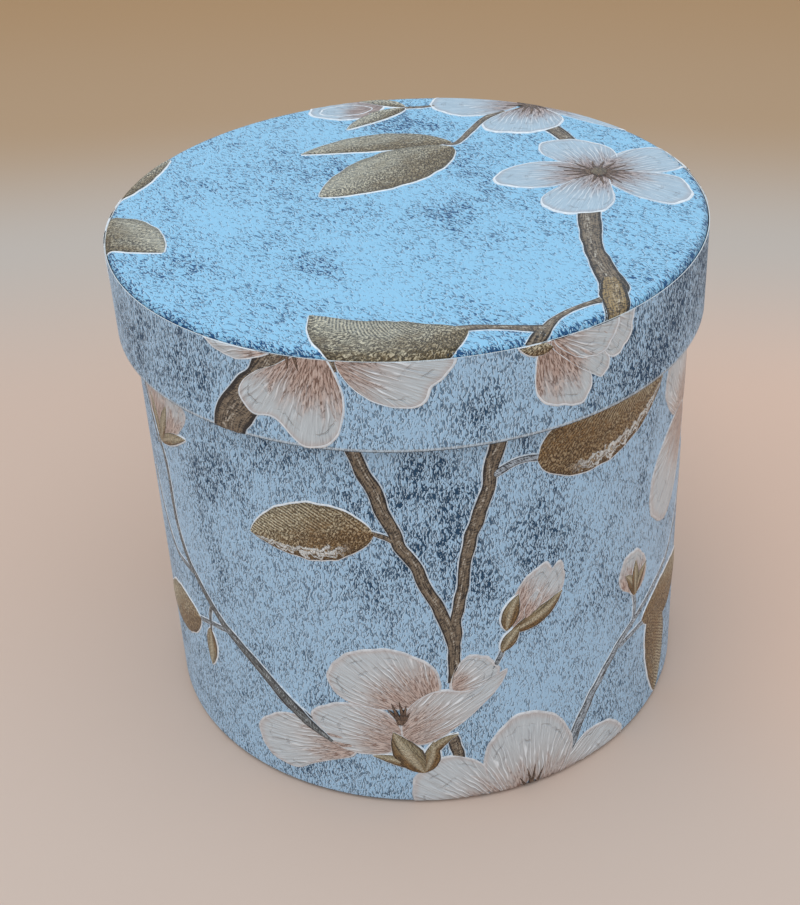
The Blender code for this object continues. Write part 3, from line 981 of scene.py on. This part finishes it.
    def stamens(self, centre, tips, width=0.7, lift=0.3):
        """Fine dark filaments that taper from a flower's centre."""
        centre = np.array(centre, float)
        for tip in tips:
            stray = np.array([self.random.uniform(-STAMEN_STRAY, STAMEN_STRAY) for _ in range(2)])
            half = [width * share / 2 for share in STAMEN_SHARES]
            tone = self.random.uniform(0.1, 0.7)
            line = [centre, (centre + tip) / 2 + stray, tip]
            self.strip(line, half, half, lift, tone, LEAF_CROWN, STAMEN_RIM, PRINT)

    def place(self, name, surface, body, print_material, rim_material, clip=None):
        """Cuts off what passes the paper's raw edge, lays the shapes on, and makes the piece."""
        mesh = bpy.data.meshes.new(name)
        mesh.from_pydata(self.points, [], self.faces)
        add_uv(mesh, "shape", self.shape)
        add_uv(mesh, "size", self.size)
        look = mesh.attributes.new("look", "FLOAT_VECTOR", "POINT")
        look.data.foreach_set("vector", np.array(self.look, float).ravel())
        mesh.polygons.foreach_set("material_index", self.kinds)
        mesh.materials.append(print_material)
        mesh.materials.append(rim_material)
        if clip is not None:
            cut(mesh, clip)
        flat = np.zeros(len(mesh.vertices) * 3)
        mesh.vertices.foreach_get("co", flat)
        laid = surface.lay(flat.reshape(-1, 3)) * MM
        mesh.vertices.foreach_set("co", laid.ravel())
        mesh.update()
        mesh.shade_smooth()
        mesh.set_sharp_from_angle(angle=PRINT_SHARP)
        return new_piece(name, mesh, body, "embossed_paper")


def cut(mesh, height):
    """Removes what lies above a height in the flat and closes the cut."""
    shape = bmesh.new()
    shape.from_mesh(mesh)
    everything = shape.verts[:] + shape.edges[:] + shape.faces[:]
    plane = {"plane_co": (0, height, 0), "plane_no": (0, 1, 0)}
    bmesh.ops.bisect_plane(shape, geom=everything, clear_outer=True, **plane)
    close_holes(shape)
    shape.to_mesh(mesh)
    shape.free()


class Spray:
    """The five reliefs of one group of motifs, all moved alike."""

    def __init__(self, seed):
        reliefs = (Relief(seed + i) for i in range(5))
        self.petals, self.leaves, self.twigs, self.hearts, self.stems = reliefs
        self.move = (0, 0)

    def moved(self, *points):
        """The given flat points, moved with the group."""
        return [(x + self.move[0], y + self.move[1]) for x, y in points]

    def petal(self, lift, tone, base, *outline):
        """A petal from the point that it fans out from and the points round it."""
        self.petals.petal(*self.moved(base), self.moved(*outline), lift, tone)

    def leaf(self, base, tip, *shape, **look):
        self.leaves.leaf(*self.moved(base, tip), *shape, **look)

    def twig(self, widths, *line, **look):
        self.twigs.twig(self.moved(*line), widths, **look)

    def stem(self, widths, *line, **look):
        self.stems.twig(self.moved(*line), widths, **look)

    def stamens(self, centre, *tips, **look):
        self.hearts.stamens(*self.moved(centre), self.moved(*tips), **look)

    def place(self, name, surface, body, petal_print, petal_rim, leaf_print, clip=None):
        prints = (
            ("_branches", self.twigs, bark, dim_ridge),
            ("_stems", self.stems, stems, dim_ridge),
            ("_leaves", self.leaves, leaf_print, ridge),
            ("_petals", self.petals, petal_print, petal_rim),
            ("_stamens", self.hearts, stamen, stamen),
        )
        for kind, relief, print_material, rim_material in prints:
            if relief.points:
                relief.place(name + kind, surface, body, print_material, rim_material, clip)


# Where the groups of motifs come again round the walls, in millimetres
BAND_MOVES = ((0, 0), (150, 1.5), (-146, -0.5))
BODY_MOVES = ((0, 0), (-203, 4))

# The large blossom's heart on the lid's top, and where its filaments end from its middle
HEART = (46.8, 13.4)
HEART_FILAMENTS = (
    (-9.4, 4.4), (-8.2, 1.8), (-7.8, -0.8), (-6.2, -3.4), (-5.2, 6.0), (8.6, 0.6), (7.6, -2.4), (6.2, -5.0),
    (4.8, 5.4), (7.0, 3.2), (-2.4, -6.0), (0.3, -7.2), (2.6, -5.8), (4.6, -7.0), (-0.8, 6.6), (2.0, 6.0),
)
HEART_WIDTH = 1.9
HEART_DEPTH = 2.9
HEART_SHARES = (0.2, 0.75, 0.98, 1.0, 0.98, 0.75, 0.2)


def lid_top_print():
    """Branch, leaves and blossoms on the lid's top; they roll over the corner."""
    top = Spray(10)
    top.leaf((-78, -2), (-54.6, -18.6), 1.5, 8.5, 7.5, tone=0.45)
    top.leaf((-76, 6), (-58.6, 34), 1.0, 5.0, 5.5, tone=0.5)
    top.leaf((12.5, 36.4), (-25.6, 33.4), -2.0, 3.8, 7.2, tone=0.4, lift=0.14)
    top.leaf((12.6, 33.4), (-20.2, 7.0), -0.6, 10.0, 9.6, tone=0.55, lift=0.19, blunt=0.8)
    top.leaf((11.5, -60.6), (-20.8, -51.4), 7.4, 10.5, 8.0, tone=0.6, lift=0.17, blunt=0.4)
    top.twig((1.2, 1.7, 1.9, 2.2), (8, 37.0), (13.4, 35.6), (17.5, 43.6), (22, 51.6), (27, 56))
    top.twig((1.6, 1.2), (0.5, 61.6), (4.6, 61.6), (9, 62.2))
    top.twig((4.4, 4.0, 4.2), (36.8, 46), (39.4, 40), (41.8, 33), (43, 27))
    top.twig((4.8, 5.0, 5.2, 4.2, 4.6, 5.4, 6.2, 5.2, 4.6), (42.6, -4), (41.4, -14), (40.8, -23),
        (41.2, -32), (42.0, -38), (42.8, -43.6), (42.4, -49), (42.2, -60), tone=0.55, lift=0.14)
    top.twig((3.2, 6.2, 5.6, 3.6), (42.4, -41), (42.4, -46.5), (42.2, -52.4), (42.4, -60), tone=0.96,
        lift=0.17)
    top.twig((2.6, 1.3, 1.4, 1.8, 3.0, 3.4), (40.6, -50.2), (36, -52.4), (32.2, -54.8), (29.2, -57.8),
        (27.2, -61.2), (24, -67))
    top.twig((3.4, 2.0, 1.9, 2.8), (27, -61.8), (21.5, -61), (15, -60), (9, -60), lift=0.13)

    top.petal(0.17, 0.9, (-7, 62), (-4.5, 65.4), (-11, 69.4), (-17, 69.6), (-23, 66), (-24.2, 60.4),
        (-19.6, 56.6), (-12.6, 55.2), (-6.4, 58.6))
    top.petal(0.21, 0.6, (-10, 61), (-7.6, 62.6), (-13, 65.2), (-19.4, 64), (-21.6, 60.2), (-16.6, 57.8),
        (-10, 58.8))
    top.leaf((1.2, 60.4), (-14.2, 48.2), -1.2, 2.6, 2.8, tone=0.75, lift=0.23)
    top.leaf((1.2, 61.8), (-11, 67.4), -1.4, 2.2, 2.0, tone=0.8, lift=0.23)
    top.leaf((1.4, 61.2), (-8.6, 58.4), 0.4, 1.6, 1.6, tone=0.85, lift=0.26)
    top.petal(0.17, 0.3, (32, 60.5), (33, 62.5), (26, 67), (18, 69), (10.5, 68), (8, 62.5), (13, 55.5),
        (20.5, 53.5), (29, 57))
    top.petal(0.17, 0.35, (36.4, 58.6), (37, 60.5), (45, 57.5), (53, 51.5), (59.5, 43), (56, 39.6),
        (49, 44.6), (42, 51), (37, 56.6))
    top.petal(0.22, 0.6, (33.6, 58), (31.5, 57.6), (25, 53), (20.8, 47), (23, 42.6), (30.5, 40.4), (38, 42),
        (42, 48), (39, 54.5), (36, 58.4))
    top.petal(0.19, 0.35, (46, 15.2), (43.6, 15.6), (38.2, 21), (34.2, 27), (34.6, 32.4), (39.6, 34.6),
        (46.5, 32.6), (52, 26.4), (51.8, 19), (48.6, 15))
    top.petal(0.21, 0.6, (45.2, 13.8), (45, 16), (37.5, 20.8), (29, 20.4), (22.6, 15.4), (21.8, 10.8),
        (26.6, 7.2), (34.4, 6.6), (41.4, 9.6), (45.4, 12))
    top.petal(0.24, 0.4, (46, 12.2), (43.6, 12), (37, 6.6), (32, 0.6), (32.6, -5.4), (37.8, -8.8),
        (44.6, -8.4), (48.4, -3.4), (48.8, 4.4), (48.2, 11.6))
    top.petal(0.19, 0.4, (48, 14.6), (48, 16.6), (51.6, 22.8), (57.6, 26.4), (65, 25.4), (68.8, 19.4),
        (66.4, 13.6), (60, 11.4), (51.6, 12))
    top.petal(0.22, 0.5, (48, 12.6), (49.6, 13.6), (58, 12.0), (64.6, 8.6), (66.8, 2.4), (65.8, -3.8),
        (61, -6.2), (54.2, -1.6), (49.2, 5.4), (46.8, 11))
    add_heart(top)
    top.stamens((34.4, 59.4), (29.5, 55.5), (31.5, 53.5), (34, 52.6), (36.5, 53.4), (38.6, 55.4), (31, 61),
        (38, 61), (28, 59), (41, 57.4), width=1.0)
    top.place("lid_top", lid_face, "lid", top_petals, ridge, top_leaves)


def add_heart(top):
    """The large blossom's centre: fine filaments all round, and an olive disc with dark stubs."""
    x, y = HEART
    for across, up in HEART_FILAMENTS:
        top.stamens((x + 0.2 * across, y + 0.2 * up), (x + across, y + up), width=0.95)
    half = [HEART_DEPTH * share for share in HEART_SHARES]
    ends = [(x - HEART_WIDTH, y), (x, y), (x + HEART_WIDTH, y)]
    top.hearts.strip(ends, half, half, 0.38, 0.95, HEART_CROWN, STAMEN_RIM, PRINT)
    for angle in range(10, 370, 60):
        turn = math.radians(angle)
        near = (x + 0.5 * HEART_WIDTH * math.cos(turn), y + 0.5 * HEART_DEPTH * math.sin(turn))
        tip = (x + 1.15 * HEART_WIDTH * math.cos(turn), y + 1.1 * HEART_DEPTH * math.sin(turn))
        top.stamens(near, tip, width=0.8, lift=0.44)


def band_group(band):
    """The two blossoms that hang over the lid's band."""
    band.twig((8.0, 8.0, 7.6, 8.0, 8.2, 7.6), (-26, 129.5), (-29, 124), (-32.4, 119), (-36.6, 113.6),
        (-40.4, 108.6), (-42.2, 103.2), tone=0.35)
    band.twig((2.8, 2.2, 0.9), (-17.4, 130), (-16.6, 126.4), (-15.7, 123.6), tone=0.3)
    band.petal(0.19, 0.2, (-30, 129), (-28, 127.5), (-33, 124.4), (-38, 123.2), (-43.4, 124.6),
        (-47.5, 129), (-40, 133), (-31, 132))
    band.petal(0.19, 0.5, (-15.6, 128.6), (-15.4, 127), (-13.8, 121.8), (-9.4, 117.6), (-3, 115.4),
        (1.4, 116.2), (3.4, 119.6), (6.6, 122.8), (8.6, 128), (2, 132), (-10, 132))
    band.petal(0.23, 0.95, (-21.4, 126.4), (-24.4, 126.2), (-28.6, 123.6), (-33.4, 121.2), (-37.2, 117.2),
        (-37.6, 113.4), (-34.6, 110.8), (-30.8, 111.2), (-28, 109), (-24.6, 105.6), (-20.6, 104.9),
        (-16.8, 107.6), (-14.4, 114.6), (-15.2, 121.4), (-18.2, 127.4))
    band.petal(0.19, 1.5, (28, 127), (26.2, 126), (25.0, 119), (26.0, 113), (30.8, 110.2), (36, 109.2),
        (38.6, 112.4), (37.4, 117), (33, 121.6), (30, 127))
    band.petal(0.19, 0.8, (39, 129), (38, 125), (41.2, 119.4), (44.6, 117.2), (47.8, 118.8), (49.6, 122.2),
        (49.6, 128), (44, 131))
    band.petal(0.22, 1.3, (29, 126.4), (28.4, 125), (31, 121.8), (34.8, 118.2), (38.6, 115.2),
        (41.5, 113.6), (43.2, 116.2), (41.4, 120.2), (36, 123.2), (30.4, 127.4))
    band.petal(0.25, 0.3, (30.6, 128), (29, 126.4), (31.6, 122.8), (36.4, 119.8), (41.6, 119.6),
        (44.6, 122.8), (45, 128), (38, 131.6), (31, 130.6))
    band.leaf((29, 124.6), (20.8, 127.4), 0.6, 1.8, 1.5, tone=0.95, lift=0.27)
    band.stamens((-24.6, 130), (-27.4, 124.8), (-25.6, 123.4), (-23.4, 123.2), (-29.4, 126), width=1.1)


def band_print():
    """Blossoms on the lid's band, cut off at its raw upper edge, and again at the back."""
    band = Spray(20)
    for band.move in BAND_MOVES:
        band_group(band)
    band.place("band", band_wall, "lid", petals, ridge, leaves, band_high.z - RAW_EDGE_MARGIN)


def branches(body):
    """Two branches that fork downwards, and the thinner stems at both sides."""
    body.twig((3.8, 3.7, 3.4, 3.0, 3.4, 3.2, 3.0, 2.7, 2.9, 2.9, 3.0, 3.2), (-20.8, 126), (-16.6, 112),
        (-13.8, 103.4), (-12, 97.8), (-9.7, 92.8), (-8.3, 87.7), (-6.2, 83.3), (-4.9, 78.4), (-2.0, 73.8),
        (0.0, 67.3), (3.5, 59.4), (5.6, 52.5), (6.2, 46), (6.4, 38.4), lift=0.14)
    body.twig((4.2, 4.6, 4.2, 3.4, 3.0, 3.2, 2.8, 2.7, 2.7, 2.2), (23.4, 126), (19.6, 113), (17.5, 102.9),
        (15.5, 96.7), (14.8, 90.8), (12.7, 85.9), (10.9, 79.7), (9.3, 73.1), (8.4, 65), (7.0, 58.1),
        (6.6, 49.4), lift=0.13)
    body.twig((1.1, 1.4, 2.0), (-10.8, 81.6), (-6.6, 79.8), (-2.6, 75.6), tone=0.6)
    body.stem((2.0, 1.6, 1.6), (16.0, 94.6), (21.4, 96.6), (26.6, 96.2), tone=1.0)
    body.stem((1.4, 1.5, 1.7, 1.9, 2.1, 2.5, 2.9, 3.2, 3.0), (-74.6, 86), (-71.9, 79.3), (-70.9, 64.2),
        (-67.1, 54.9), (-63.6, 51), (-54.6, 42.6), (-47.4, 37.6), (-39.7, 31.4), (-34.6, 26.4),
        (-26.4, 20.4), tone=0.2)
    body.stem((3.0, 3.3, 2.6, 0.9), (-38, 30), (-33.6, 25.6), (-29, 21.8), (-24.0, 18.0), tone=0.1,
        lift=0.30)
    body.stem((1.2, 1.2, 1.0), (-74.4, 84), (-77.2, 91), (-80.5, 102), tone=0.4, lift=0.26)
    body.stem((1.1, 1.3, 1.5), (-84, 72), (-80.6, 61.7), (-74.5, 53), (-65, 51.4), tone=0.9)
    body.stem((1.2, 1.3, 1.4), (-64.6, 37.4), (-59.1, 39.1), (-53.4, 40.4), (-49.8, 39.8), tone=0.9)
    body.stem((1.0, 1.0), (-57.7, 46.0), (-59.2, 42.3), (-60.0, 36.3), tone=0.4)
    body.twig((3.0, 2.6), (4.6, 22.4), (6.2, 17), (6.4, 11.6), tone=0.2)
    body.stem((1.0, 1.2), (15.0, 40.6), (16.6, 43.4), (17.6, 46.4), tone=0.9)
    body.stem((1.2, 1.4, 1.6, 1.8, 2.3, 3.1), (94, 66), (84, 51), (75.8, 43.3), (65.7, 39), (57, 35),
        (50, 30.6), (43.4, 23.2), (38.2, 14.6), (35, 6.4), tone=1.0)
    body.stem((1.1, 1.1), (56.8, 43.6), (57.4, 40), (57.0, 35.6), tone=1.0)
    body.stem((1.3, 1.6), (51.4, 30.6), (58.7, 31.6), (66.2, 31.0), tone=1.0)


def body_leaves(body):
    """The single leaves of the body's branches."""
    body.leaf((-10.2, 81.2), (-40.2, 75.8), -1.6, 7.8, 7.4, tone=0.45, blunt=0.7, lined=1.0)
    body.leaf((26, 95.6), (66, 101.5), -1.2, 11.5, 8.8, tone=0.2, blunt=1.1, lined=0.9)
    body.leaf((-64.4, 37.2), (-91, 28), 0.0, 6.4, 7.0, tone=0.45)
    body.leaf((-60.2, 37.2), (-61.8, 24.4), 0.3, 2.3, 2.2, tone=0.9, plain=0.8)
    body.leaf((65.6, 33.6), (71.4, 1.6), 0.6, 7.6, 4.8, tone=0.2, blunt=1.0)
    body.leaf((61, 32.6), (95, 31), 0.6, 6.4, 7.6, tone=0.2)


def buds(body):
    """Three half-open buds in their sepals."""
    body.petal(0.17, 1.5, (20.6, 50.8), (19.8, 52.4), (19.6, 57), (21.4, 62.6), (25, 66.2), (28.4, 67.2),
        (30, 63.4), (29, 57.6), (25.2, 51.6))
    body.petal(0.2, 1.1, (22.4, 51), (22.4, 52.6), (25.6, 58.6), (29.2, 64.6), (31.9, 66.4), (33, 63.2),
        (32.4, 58.2), (29.4, 54), (25, 51.2))
    body.petal(0.23, 1.4, (23, 53.6), (22.6, 54.6), (23.6, 58.2), (26, 60.8), (27.2, 58.2), (25.8, 55.2),
        (23.8, 53.4))
    body.leaf((18.4, 51.2), (21.4, 61), 0.6, 1.9, 2.3, tone=0.5, lift=0.24, plain=1.0)
    body.leaf((19.4, 50.8), (32.4, 58.2), -1.4, 2.3, 2.2, tone=0.5, lift=0.25, plain=1.0)
    body.leaf((17.2, 45.2), (21.6, 52), 0.2, 1.7, 1.9, tone=0.9, lift=0.27, plain=1.0)
    body.petal(0.17, 1.5, (56.6, 45), (54.6, 45.4), (51.2, 48.6), (50.8, 53), (53.2, 56.8), (58, 56.2),
        (61.8, 50.4), (61, 45.6), (57.6, 43.6))
    body.leaf((56.8, 43.2), (52.6, 51.6), -1.0, 1.6, 1.5, tone=0.55, lift=0.22, plain=1.0)
    body.leaf((57.2, 43.2), (61.8, 50.6), 1.0, 1.5, 1.6, tone=0.55, lift=0.22, plain=1.0)
    body.leaf((57.0, 43.4), (56.6, 54.2), 0.0, 1.5, 1.5, tone=0.6, lift=0.25, plain=1.0)
    body.petal(0.17, 1.4, (-71, 87), (-72.5, 88.4), (-79, 95), (-80, 103), (-73, 107), (-64, 105),
        (-58, 99.4), (-62, 92.6), (-69, 87.4))
    body.leaf((-72.4, 85.4), (-59.0, 92.4), 0.5, 1.5, 1.6, tone=0.9, lift=0.22, plain=0.7)
    body.leaf((-72.6, 85.4), (-75.4, 97.4), -0.3, 1.6, 1.5, tone=0.8, lift=0.22, plain=0.7)
    body.leaf((-72.4, 85.2), (-66.2, 98), 0.3, 1.6, 1.5, tone=0.85, lift=0.22, plain=0.7)


def blossom(body):
    """The large blossom low on the front."""
    body.petal(0.18, 0.3, (6.4, 37.2), (5, 37.4), (6.8, 43.4), (10.6, 45.8), (14.8, 43.4), (16.4, 39.2),
        (12.6, 35.8), (6.8, 35.2))
    body.petal(0.18, 0.45, (-20, 18), (-19, 20.4), (-28.4, 23.6), (-37.2, 22.4), (-44, 17), (-45.2, 11),
        (-41.6, 6.4), (-35, 5.4), (-29.6, 8.8), (-25, 11.4), (-18.6, 14.8))
    body.petal(0.19, 0.55, (-5, 33), (-4.4, 31), (-14.6, 30.6), (-21.6, 33.4), (-23.6, 38.6), (-20.8, 44.6),
        (-13, 48.6), (-5, 47.8), (1.0, 43.4), (2.8, 37.6), (0.4, 32.8))
    body.petal(0.22, 0.45, (-8.6, 21.4), (-6.2, 22.4), (-9.8, 29.4), (-18.8, 31.2), (-26.4, 28.4),
        (-28.6, 23.6), (-22.4, 16.8), (-13.4, 15.8), (-6.8, 18.6))
    body.petal(0.25, 0.2, (-4.8, 22.6), (-6.6, 21.6), (-6.4, 27.6), (-3.8, 32.6), (1.6, 36.2), (9.6, 35.6),
        (18.4, 39.8), (15.6, 34), (9.4, 27.4), (2.4, 21.6), (-3, 19.4))
    body.leaf((-0.8, 14.4), (6.6, 22.4), 1.6, 1.2, 1.5, tone=0.6, lift=0.27, plain=0.8)
    body.leaf((-1.8, 10.4), (0.6, 20.6), -0.6, 2.2, 2.2, tone=0.4, lift=0.27, blunt=0.3, plain=0.9)
    body.leaf((-2.4, 11.4), (-14.2, 15.4), -0.8, 1.5, 1.6, tone=0.7, lift=0.26, plain=0.9)
    body.leaf((-1.8, 10.4), (-8.8, 23.6), 0.6, 3.4, 3.8, tone=0.65, lift=0.29, blunt=0.3, plain=1.0)
    body.stamens((-6.6, 26.2), (-9.8, 30.6), (-8.8, 32.6), (-7.0, 33.2), (-5.4, 32.0), (-4.6, 29.8),
        width=1.0)
    body.stamens((-7.0, 26.0), (-8.2, 29.0), (-6.2, 29.2), width=1.2, lift=0.34)


def lower_petals(body):
    """Petals that turn under the foot of the box."""
    body.petal(0.18, 0.1, (31, -4), (30, -2), (34.4, 4.6), (40.6, 9.6), (47.6, 9), (53.4, 3.6), (51, -3),
        (42, -6), (32, -6))
    body.petal(0.2, 0.35, (14.6, -3.6), (11.6, -5), (4, -5), (-3.8, -0.6), (-4.8, 6), (-1.6, 12),
        (5.4, 15.2), (12.2, 11), (16.8, 2.6), (17, -4))
    body.petal(0.24, 0.3, (24.6, -2.6), (20.6, -3), (14.2, 4.4), (12.4, 11), (14.6, 18.4), (20, 24),
        (27.2, 23.4), (33.4, 17.2), (36.2, 9), (33.6, 1), (28, -4))
    body.stamens((24.6, -3.4), (21.4, 3.8), (23.4, 6.2), (25.6, 6.8), (27.8, 5.2), width=1.0)


def side_petals(body):
    """A blossom at the right edge, partly under the lid."""
    body.petal(0.18, 0.5, (85, 83), (83, 81), (74, 85), (68.4, 93), (70, 101), (77, 106), (88, 104),
        (92, 92), (89, 84))
    body.petal(0.22, 0.6, (83, 80), (84, 83), (76, 84), (67, 79.4), (62.4, 71), (64.2, 62), (71, 57.4),
        (78, 61), (83, 70), (86, 78))


def body_print():
    """The same branch on the front and, further round, on the back of the box."""
    body = Spray(30)
    for body.move in BODY_MOVES:
        branches(body)
        body_leaves(body)
        buds(body)
        blossom(body)
        lower_petals(body)
        side_petals(body)
    rim = wrap_high.z - FOLD - RAW_EDGE_MARGIN
    body.place("body", box_wall, "box", soft_petals, soft_ridge, leaves, rim)


# Boards, stage, light and camera

KEY_PLACE = (-0.16, -0.40, 1.35)
KEY_AIM = (0, 0, 0.08)
KEY_SIZE = 1.6
KEY_POWER = 8.4
KEY_TINT = (0.88, 0.96, 1.0)
ROOM_TINT = (0.92, 1.0, 1.08, 1)
ROOM_STRENGTH = 0.76
FLOOR_SIZE = 8
SENSOR = 36


def finish_boards():
    """The boards keep their own shape and get the look of pulp board."""
    for node in ("box_wall_board", "box_floor_board", "lid_wall_board", "lid_top_board"):
        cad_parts[node].data.materials.clear()
        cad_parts[node].data.materials.append(greyboard)


def floor():
    """A plain pale floor, warmer at the right and paler at the front as painted light, that turns tan
    towards the back.
    """
    n = Nodes("floor_paint")
    x, y, _ = n.split(n.position())
    cloud = n.noise(n.position(), (0.3, 0.3, 0.3), 1.0) - 0.5
    far = n.math("MAXIMUM", x, 0.0) * 0.2 + y + cloud * 0.06
    warm = n.smooth(x, 0.05, 0.11) * n.smooth(y, -0.10, -0.02)
    face = n.layered(
        (210, 182, 164),
        # Painted light: paler and cooler towards the front
        (n.smooth(y, 0.06, -0.10), (210, 187, 172)),
        (warm * 0.7, (226, 190, 168)),
        (n.smooth(far, 0.12, 0.26), (193, 180, 169)),
        (n.smooth(far, 0.24, 0.40), (180, 149, 118)),
        (n.smooth(far, 0.36, 0.62), (176, 139, 100)),
    )
    bpy.ops.mesh.primitive_plane_add(size=FLOOR_SIZE)
    plane = bpy.context.object
    plane.name = "floor"
    plane.data.materials.append(n.finish(face, 0.75, None, 0.15))


def lighting():
    """An even bright room and one broad cool light from above."""
    world = bpy.data.worlds.new("studio")
    bpy.context.scene.world = world
    world.use_nodes = True
    background = world.node_tree.nodes["Background"]
    background.inputs["Color"].default_value = ROOM_TINT
    background.inputs["Strength"].default_value = ROOM_STRENGTH
    light = bpy.data.lights.new("key", "AREA")
    light.size = KEY_SIZE
    light.energy = KEY_POWER
    light.color = KEY_TINT
    lamp = bpy.data.objects.new("key", light)
    bpy.context.scene.collection.objects.link(lamp)
    lamp.location = KEY_PLACE
    lamp.rotation_mode = "QUATERNION"
    lamp.rotation_quaternion = (Vector(KEY_AIM) - Vector(KEY_PLACE)).to_track_quat("-Z", "Y")


def camera():
    """The photograph's viewpoint."""
    cos, sin = math.cos, math.sin
    level = cos(CAMERA_PITCH)
    forward = Vector((sin(CAMERA_YAW) * level, cos(CAMERA_YAW) * level, -sin(CAMERA_PITCH)))
    right = forward.cross(Vector((0, 0, 1))).normalized()
    up = right.cross(forward)
    turned_right = cos(CAMERA_ROLL) * right + sin(CAMERA_ROLL) * up
    turned_up = -sin(CAMERA_ROLL) * right + cos(CAMERA_ROLL) * up
    data = bpy.data.cameras.new("camera")
    data.sensor_width = SENSOR
    data.lens = CAMERA_LENS
    eye = bpy.data.objects.new("camera", data)
    bpy.context.scene.collection.objects.link(eye)
    axes = Matrix((turned_right, turned_up, -forward)).transposed().to_4x4()
    eye.matrix_world = Matrix.Translation((0, -CAMERA_BACK, CAMERA_HEIGHT)) @ axes
    bpy.context.scene.camera = eye


build_papers()
build_linings()
lid_top_print()
band_print()
body_print()
finish_boards()
floor()
lighting()
camera()
bpy.context.scene.view_settings.view_transform = "Standard"
